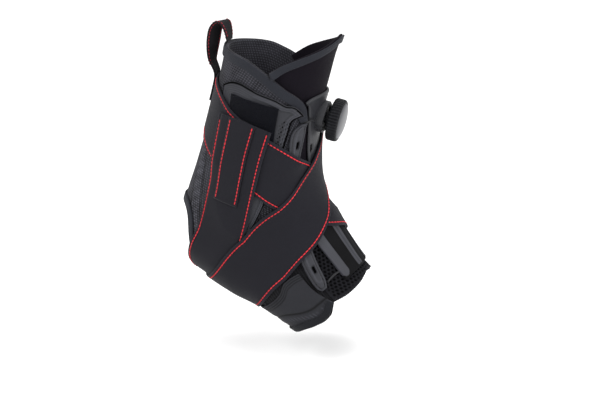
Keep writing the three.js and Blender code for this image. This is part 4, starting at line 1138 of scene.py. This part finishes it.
# %% [markdown]
# ## Laces
#
# The lace is one thin cord. It shows only where it leaves the housing and where it crosses the tongue, and
# both ends of each short run go into a guide, so it is part of the piece and not a free cord. A curve with a
# bevel would do as well. A tube of rings is used because the same functions make it as the turned pieces.

# %% Laces
cord_black = finish("lace_cord", (0.008, 0.008, 0.01), 0.6, grain=0.2, bump=0.4, specular=0.3)
LACE_DIAMETER = 1.8
LACE_POINTS = 24
LACE_SIDES = 12
UPPER_LACE = (2.93, (19, 34))
LOWER_LACE = (9.7, (41, 65))


def tube(name, points, radius):
    """A round closed tube along a line of points in millimetres."""
    tangent = unit(np.gradient(points, axis=0))
    side = unit(np.cross(tangent, np.array([0.13, 0.27, 0.95])))
    other = np.cross(tangent, side)
    a = np.linspace(0, 2 * math.pi, LACE_SIDES, endpoint=False)[None, :, None]
    ring = points[:, None] + radius * (np.cos(a) * side[:, None] + np.sin(a) * other[:, None])
    rows = len(points)
    return solid(name, ring.reshape(-1, 3), ring_faces(rows, LACE_SIDES), extra=ring_caps(rows, LACE_SIDES))


for level, (station, turns) in (("upper", UPPER_LACE), ("lower", LOWER_LACE)):
    for word, sign in SIDES:
        shares = np.linspace(0, 1, LACE_POINTS)
        arch = np.sin(shares * math.pi)
        turn = turns[0] + (turns[1] - turns[0]) * shares
        rows = np.full(LACE_POINTS, station)
        end_lift = relief_at(rows[-1:], sign * turn[-1:] * 0.9)[0]
        line = over(rows - 0.05 * arch, sign * turn, end_lift + 0.6 + 0.6 * arch)
        lace = tube(f"{level}_lace_{word}_run", line, LACE_DIAMETER / 2)
        dress(lace, cord_black, replaces=[f"{level}_lace_{word}"])

# %% [markdown]
# ## Stitches
#
# Red seams run along the straps, and they are the first thing one sees. A red line in the texture would be
# flat and too even. So every stitch is a short capsule of thread with its ends pulled into the cloth. All
# the stitches on one piece are one mesh, because thousands of objects would be slow.

# %% Stitches
thread_red = finish("thread_red", (0.44, 0.018, 0.026), 0.65, grain=0.15, bump=0.4, vary=0.2, specular=0.2)
STITCH_LENGTH = 3.1
STITCH_PITCH = 3.3
THREAD_SIDES = 8
THREAD_SHAPE = np.array([0.45, 0.92, 1, 0.92, 0.45])[:, None, None]
SEAM_START = 2.0


def stitches(name, tops, look, length=STITCH_LENGTH, pitch=STITCH_PITCH, radius=0.5):
    """Short thread capsules along lines of surface points, sunk to their middle, all in one object."""
    rings = len(THREAD_SHAPE)
    sink = 0.28 - 0.38 * np.abs(np.linspace(-1, 1, rings)[:, None]) ** 2
    a = np.linspace(0, 2 * math.pi, THREAD_SIDES, endpoint=False)[None, :, None]
    points, faces, caps = [], [], []
    for line, normals in tops:
        run = np.concatenate([[0], np.cumsum(np.linalg.norm(np.diff(line, axis=0), axis=1))])
        for start in np.arange(SEAM_START, run[-1] - length - 1, pitch):
            where = start + length * np.linspace(0, 1, rings)
            core, normal = (np.stack([np.interp(where, run, v[:, k]) for k in range(3)], 1)
                            for v in (line, normals))
            normal = unit(normal)
            core = core + normal * sink
            side = unit(np.cross(unit(np.gradient(core, axis=0)), normal))
            ring = np.cos(a) * side[:, None] + 0.7 * np.sin(a) * normal[:, None]
            base = len(points) * THREAD_SIDES * rings
            points.append((core[:, None] + radius * THREAD_SHAPE * ring).reshape(-1, 3))
            faces.append(base + ring_faces(rings, THREAD_SIDES))
            caps += [[base + k for k in cap] for cap in ring_caps(rings, THREAD_SIDES)]
    piece = solid(name, np.concatenate(points), np.concatenate(faces), extra=caps)
    print(len(points), "stitches")
    return dress(piece, look)


def along_offset(grid, offsets, top, wanted):
    """The surface line and its normals at one offset across a band."""
    s, t, h = (np.array([np.interp(wanted, offsets, row) for row in a]) for a in (*grid, top))
    return over(s, t, h), outward(s, t)


print("a stitch is", STITCH_LENGTH, "mm long, and one starts every", STITCH_PITCH, "mm")

# %% [markdown]
# ## The lines of the straps
#
# Each of the two straps starts at the seam at the back, runs over one side and the instep, down the other
# side and under the sole, and comes up again on its first side. Each row of a table is a place on the
# strap's middle line, and how much of its width it has there, since the elastic draws narrow where it is
# pulled. A simulated strap could slip off its place.

# %% Strap lines
STRAP_WALL = 1.8
STRAP_WIDTH = 50
STRAP_CELL = 1.3
UNDER_LINE = [
    # turn, station, share of the width
    [179, 2.45, 1], [152, 2.6, 1], [127, 2.98, 1], [96, 3.55, 0.98], [65, 4.2, 0.95], [48, 4.72, 0.95],
    [27, 5.4, 0.96], [0, 6.25, 0.97], [-25, 6.95, 0.95], [-50, 7.4, 0.96], [-72, 7.7, 1], [-92, 7.9, 1],
    [-125, 8.1, 1], [-160, 8.0, 1], [-190, 7.7, 0.96], [-217, 7.2, 0.93], [-246, 6.3, 0.9], [-257, 5.6, 0.9],
    [-262.5, 4.8, 0.9], [-264, 4.14, 0.9], [-264.5, 3.4, 0.93], [-264, 2.67, 0.96]]
OVER_LINE = [
    [179, 2.45, 1], [152, 2.56, 1], [127, 2.85, 1], [96, 3.3, 0.98], [65, 3.7, 0.95], [30, 4.3, 0.88],
    [0, 4.95, 0.8], [-18.5, 5.5, 0.8], [-33, 6.1, 0.84], [-50, 6.75, 0.92], [-71.5, 7.2, 1], [-92, 7.6, 1],
    [-125, 8.0, 1], [-160, 8.05, 1], [-190, 7.8, 0.96], [-216, 7.3, 0.93], [-246, 6.3, 0.9], [-257, 5.6, 0.9],
    [-262.5, 4.8, 0.9], [-264, 4.14, 0.9], [-264.5, 3.4, 0.93], [-264, 2.67, 0.96]]
for word, table in (("under", UNDER_LINE), ("over", OVER_LINE)):
    print(word, "strap:", round(even_line(table, STRAP_CELL)[1]), "mm long")

# %% [markdown]
# ## Strap bands
#
# The straps are wide elastic bands with a soft surface. They could be cloth, pinned at both ends, but tight
# bands hardly fold, so they are laid by the lane and drawn tight over what is under them. Each one also
# crosses its own start, so its first half is pressed into the map for a moment while the second is laid. A
# groove takes the seam, and a slow wave keeps the surface from looking like plastic.

# %% Strap bands
strap_cloth = finish("strap_cloth", (0.0062, 0.006, 0.009), 0.85, (0.5, 0.5, "twill"), sheen=0.05, grain=0.35,
                     bump=0.3, specular=0.15)
STITCH_INSET = 3
STITCH_BED = 0.3
SOLE_TURN = -150
SQUARE_ROWS = 24
SEAM_OFFSET = STRAP_WIDTH / 2 - STITCH_INSET


def strap_lifts(station, turn, split):
    """Heights of a strap that crosses its own start after row split."""
    base = relief_at(station, turn) + PLY_GAP
    first = draw_tight(base[:split], 150, ease=8)
    lag = split - SQUARE_ROWS
    saved = relief.copy()
    press(station[:lag], turn[:lag], first[:lag] + STRAP_WALL)
    base[split:] = relief_at(station[split:], turn[split:]) + PLY_GAP
    relief[:] = saved
    return draw_tight(base, 150, ease=8)


def strap_band(word, table, sign):
    """The band, with its grid and heights for what is sewn on it."""
    line, length = even_line(table, STRAP_CELL)
    near_seam = SEAM_OFFSET + np.array([-1.2, -0.5, 0, 0.5, 1.2])
    even = (spread(STRAP_WIDTH, 1.4) - 0.5) * STRAP_WIDTH
    offsets = np.unique(np.concatenate([even, near_seam, -near_seam]).round(4))
    station, turn = lane(line[:, [1, 0]], offsets, line[:, 2], square=SQUARE_ROWS)
    turn = sign * turn
    lifts = strap_lifts(station, turn, int(np.argmax(line[:, 0] < SOLE_TURN)))
    groove = -0.35 * np.exp(-((abs(offsets) - SEAM_OFFSET) / 0.7) ** 2) * np.ones((len(line), 1))
    place = np.arange(len(line))[:, None] * STRAP_CELL
    long_wave = 0.22 * np.sin(place / 23 + offsets / 31 + sign) * np.cos(offsets / 15 + place / 57)
    slow = long_wave + 0.1 * np.sin(place / 9.7 - offsets / 12)
    aside = abs(offsets)
    # Tone: lighter outside the seams, and darker along the seam groove, which is painted shade.
    tone = 0.3 * (aside > SEAM_OFFSET + 0.6) - 0.35 * bump_at(aside, SEAM_OFFSET, 0.6) + 0 * place
    piece = ply(word + "_strap_band", (station, turn), lifts, STRAP_WALL, relief_on_top=groove + slow,
                tone=tone)
    dress(piece, strap_cloth, replaces=[word + "_strap"])
    top = lifts + STRAP_WALL - STITCH_BED
    rows = slice(3, len(line) - 3)
    lines = [along_offset((station[rows], turn[rows]), offsets, top[rows], s * SEAM_OFFSET) for s in (-1, 1)]
    seams = stitches(word + "_strap_stitches", lines, thread_red)
    cut_from((station, turn), lifts + STRAP_WALL / 2)
    return station, turn, offsets


print("seams lie", SEAM_OFFSET, "mm from the middle of a strap")

# %% [markdown]
# ## Pull tabs
#
# On the end of each strap lies a narrower tab, sewn down with two seams. The strap is pulled by it. A box
# would stand off the round side, so the tab takes the strap's own grid for its length, narrowed to its
# width, and lies on the strap as a second ply.

# %% Pull tabs
TAB_WALL = 1.3
TAB_WIDTH = 22
TAB_LENGTH = 76
TAB_INSET = 1.8
END_SHARE = 0.93
tab_offsets = np.linspace(-TAB_WIDTH / 2, TAB_WIDTH / 2, 25)


def pull_tab(word, station, turn, offsets):
    """The tab over the last rows of a strap's grid."""
    count = int(TAB_LENGTH / STRAP_CELL)
    grid = tuple(np.array([np.interp(tab_offsets / END_SHARE, offsets, row) for row in a[-count:]])
                 for a in (station, turn))
    lifts = draw_tight(relief_at(*grid) + PLY_GAP, 40)
    tab = ply(word + "_strap_pull_tab", grid, lifts, TAB_WALL)
    dress(tab, strap_cloth, replaces=[word + "_strap_tab"])
    top = lifts + TAB_WALL - 0.1
    lines = [along_offset(grid, tab_offsets, top, s * (TAB_WIDTH / 2 - TAB_INSET)) for s in (-1, 1)]
    seams = stitches(word + "_tab_stitches", lines, thread_red)
    cut_from(grid, lifts + TAB_WALL / 2)


for word, table, sign in (("under", UNDER_LINE, 1), ("over", OVER_LINE, -1)):
    pull_tab(word, *strap_band(word, table, sign))

# %% [markdown]
# ## The pull loop's path
#
# A ribbon at the back helps to pull the brace on. It is sewn flat to the strap's seam, rises in an open loop
# and turns a little on itself. A simulated ribbon would hang in its own way each time, so a table gives its
# path and how much it is turned, and a few rounds of smoothing take the corners out.

# %% Pull loop path
LOOP_WIDTH = 15
LOOP_WALL = 1.6
LOOP_RISE = 18
LOOP_BULGE = 12
LOOP_TWIST = 34
LOOP_ANCHOR = [2.45, 1.78]
ANCHOR_ROWS = 14
LOOP_LINE = [
    # outward, upward, share of the twist
    [1.25, -1.05, 0.1], [1.25, -0.6, 0.6], [1.15, 0.05, 1], [0.98, 0.6, 1], [0.62, 0.9, 0.9],
    [0.28, 0.84, 0.55], [0.07, 0.45, 0.25], [0, 0.05, 0]]
BACK = np.array(180.0)
edge_top = over(np.array(1.05), BACK, np.array(2.0))
loop = row_at(np.array(LOOP_LINE), np.linspace(0, len(LOOP_LINE) - 1.0001, 90))
free = np.stack([edge_top[0] - loop[:, 0] * LOOP_BULGE, 0 * loop[:, 0],
                 edge_top[2] + 0.35 + loop[:, 1] * LOOP_RISE], 1)
anchor = [over(np.array(s), BACK, relief_at(np.array([s]), np.array([180.0]))[0] + 1.6)
          for s in np.linspace(*LOOP_ANCHOR, ANCHOR_ROWS)]
path = np.concatenate([anchor, free])
twist = np.radians(LOOP_TWIST) * np.concatenate([np.zeros(ANCHOR_ROWS), loop[:, 2]])
for _ in range(6):
    path[1:-1] = (path[:-2] + 2 * path[1:-1] + path[2:]) / 4
    twist[1:-1] = (twist[:-2] + 2 * twist[1:-1] + twist[2:]) / 4
ribbon_length = run_length(path[:, None], 0)[-1, 0]
print("ribbon:", round(ribbon_length), "mm long")

# %% [markdown]
# ## The ribbon
#
# The ribbon is thin woven tape with rounded edges. Where it is sewn down it curves round the back of the
# brace, and this curve fades as it lifts off. A curve object with a flat bevel can't bend across its width,
# so the ribbon is a grid with an upper and a lower face, closed by a ring of faces round its rim.

# %% Ribbon
ribbon_cloth = finish("loop_ribbon", (0.006, 0.0055, 0.007), 0.85, (0.5, 0.5, "twill"), sheen=0.04, bump=0.4,
                      specular=0.12)
PER_DEGREE = 0.62
CURVED_ROWS = 22
tangent = unit(np.gradient(path, axis=0))
across = np.stack([np.sin(twist), np.cos(twist), 0 * twist], 1)
normal = unit(np.cross(tangent, across))
shares = np.linspace(-0.5, 0.5, 15)
lateral = shares * LOOP_WIDTH
rim = np.sqrt(1 - np.clip((abs(shares) - 0.44) / 0.06, 0, 0.97) ** 2)
flat = path[:, None] + across[:, None] * lateral[None, :, None]
for row in range(CURVED_ROWS):
    place = np.interp(min(row, ANCHOR_ROWS - 1), [0, ANCHOR_ROWS - 1], LOOP_ANCHOR)
    middle = over(np.array(place), BACK, np.array(0.0))
    round_back = over(np.full(15, place), 180 + lateral / PER_DEGREE, np.zeros(15)) - middle
    fade = 1 - np.clip((row - 12) / 9, 0, 1)
    flat[row, :, 0] += fade * round_back[:, 0]
thick = normal[:, None] * (rim * LOOP_WALL / 2)[None, :, None]
points = np.concatenate([(flat - thick).reshape(-1, 3), (flat + thick).reshape(-1, 3)])
rows, n = flat.shape[:2]
size = rows * n
i, j = (v.ravel() for v in np.meshgrid(np.arange(rows - 1), np.arange(n - 1), indexing="ij"))
lower = np.stack([i * n + j, i * n + j + 1, (i + 1) * n + j + 1, (i + 1) * n + j], 1)
number = np.arange(size).reshape(rows, n)
ring = np.concatenate([number[0], number[1:, -1], number[-1, -2::-1], number[-2:0:-1, 0]])
after = np.roll(ring, -1)
rims = np.stack([ring + size, after + size, after, ring], 1)
down_ribbon = run_length(path[:, None], 0)[:, 0]
cloth = np.stack([np.tile(lateral, rows), np.repeat(down_ribbon, n), np.zeros(size)], 1)
faces = np.concatenate([lower, lower[:, ::-1] + size, rims])
pull_ribbon = solid("heel_pull_ribbon", points, faces, np.concatenate([cloth, cloth]))
dress(pull_ribbon, ribbon_cloth, replaces=["pull_loop"])

# %% [markdown]
# ## The ribbon's seams
#
# A finer and dimmer red thread edges the free part of the ribbon on both faces. It could be left to the
# finish, but its dashes catch the light on the twist. The stitches are those of the straps, a little smaller.

# %% Ribbon seams
thread_dim = finish("thread_dim", (0.2, 0.012, 0.02), 0.7, grain=0.15, bump=0.4, specular=0.2)
aside = LOOP_WIDTH / 2 - 1.6
loose = slice(ANCHOR_ROWS, None)
lines = [(path[loose] + across[loose] * s * aside + normal[loose] * k * (LOOP_WALL / 2 - 0.1),
          normal[loose] * k) for s in (-1, 1) for k in (-1, 1)]
ribbon_seams = stitches("pull_ribbon_stitches", lines, thread_dim, length=2.2, pitch=2.8,
                        radius=0.45)

# %% [markdown]
# ## The floor
#
# The brace hangs in the air a little over a plain pale floor, as in the picture. A backdrop that curves
# up would hide the horizon in every view, but from the picture's angle the floor alone fills the frame.
# It only has to take a soft shadow.

# %% Floor
FLOOR_HEIGHT = -0.135
bpy.ops.mesh.primitive_plane_add(size=12, location=(0, 0, FLOOR_HEIGHT))
floor = bpy.context.object
floor.name = "floor"
pale = bpy.data.materials.new("pale_floor")
pale.use_nodes = True
pale.node_tree.nodes["Principled BSDF"].inputs["Base Color"].default_value = (0.86, 0.86, 0.86, 1)
pale.node_tree.nodes["Principled BSDF"].inputs["Roughness"].default_value = 0.9
floor.data.materials.append(pale)

# %% [markdown]
# ## Light
#
# A catalogue picture has soft light from all sides. One strong lamp would leave black cloth without any
# form on its far side. So a white world gives the even light, and three broad lamps, from the left, the
# right and above, round the straps a little and lay a shine on the dial.

# %% Lights
world = bpy.data.worlds.new("pale_room")
world.use_nodes = True
world.node_tree.nodes["Background"].inputs[0].default_value = (1, 1, 1, 1)
world.node_tree.nodes["Background"].inputs[1].default_value = 1.0
bpy.context.scene.world = world
LIT_PLACE = Vector((0, 0, 0.02))
LAMPS = (
    # name, place, watts, size
    ("key_light", (-1.0, -1.3, 1.3), 26, 1.2),
    ("fill_light", (1.5, -0.7, 0.7), 22, 1.0),
    ("top_light", (0.2, 0.3, 1.8), 18, 1.4),
)
for name, place, power, size in LAMPS:
    lamp = bpy.data.lights.new(name, "AREA")
    lamp.energy, lamp.size = power, size
    light = bpy.data.objects.new(name, lamp)
    light.location = place
    light.rotation_euler = (LIT_PLACE - Vector(place)).to_track_quat("-Z", "Y").to_euler()
    bpy.context.collection.objects.link(light)
    print(name, power, "W")

# %% [markdown]
# ## Camera
#
# The camera stands where the picture was taken from: a little to the right of the outer side, a little
# above, and with a long lens, which keeps the straps' edges nearly parallel. A short lens close by would
# swell the dial. It aims beside the brace's middle, which puts the brace left of the picture's middle.

# %% Camera
AZIMUTH, ELEVATION, DISTANCE = math.radians(15), math.radians(17), 1.5
AIM_RIGHT, AIM_DOWN = 32.3, 4.25
right = Vector((math.cos(AZIMUTH), math.sin(AZIMUTH), 0))
level_part = math.cos(ELEVATION)
back_way = Vector((math.sin(AZIMUTH) * level_part, -math.cos(AZIMUTH) * level_part, math.sin(ELEVATION)))
up_way = back_way.cross(right)
target = (AIM_RIGHT * right - AIM_DOWN * up_way) * MM
lens = bpy.data.cameras.new("camera")
lens.sensor_width, lens.lens = 36, 105.9
camera = bpy.data.objects.new("camera", lens)
camera.location = target + back_way * DISTANCE
camera.rotation_euler = back_way.to_track_quat("Z", "Y").to_euler()
bpy.context.collection.objects.link(camera)
bpy.context.scene.camera = camera
bpy.context.scene.view_settings.view_transform = "Standard"
print("camera at, m:", [round(v, 3) for v in camera.location])

# %% [markdown]
# ## Padding and ribbon
#
# The boot and the tongue are padded cloth, which has no flat size, and the ribbon is a straight strip that
# hangs.

# %% Padding and ribbon
print("ribbon:", LOOP_WIDTH, "x", round(ribbon_length), "mm")
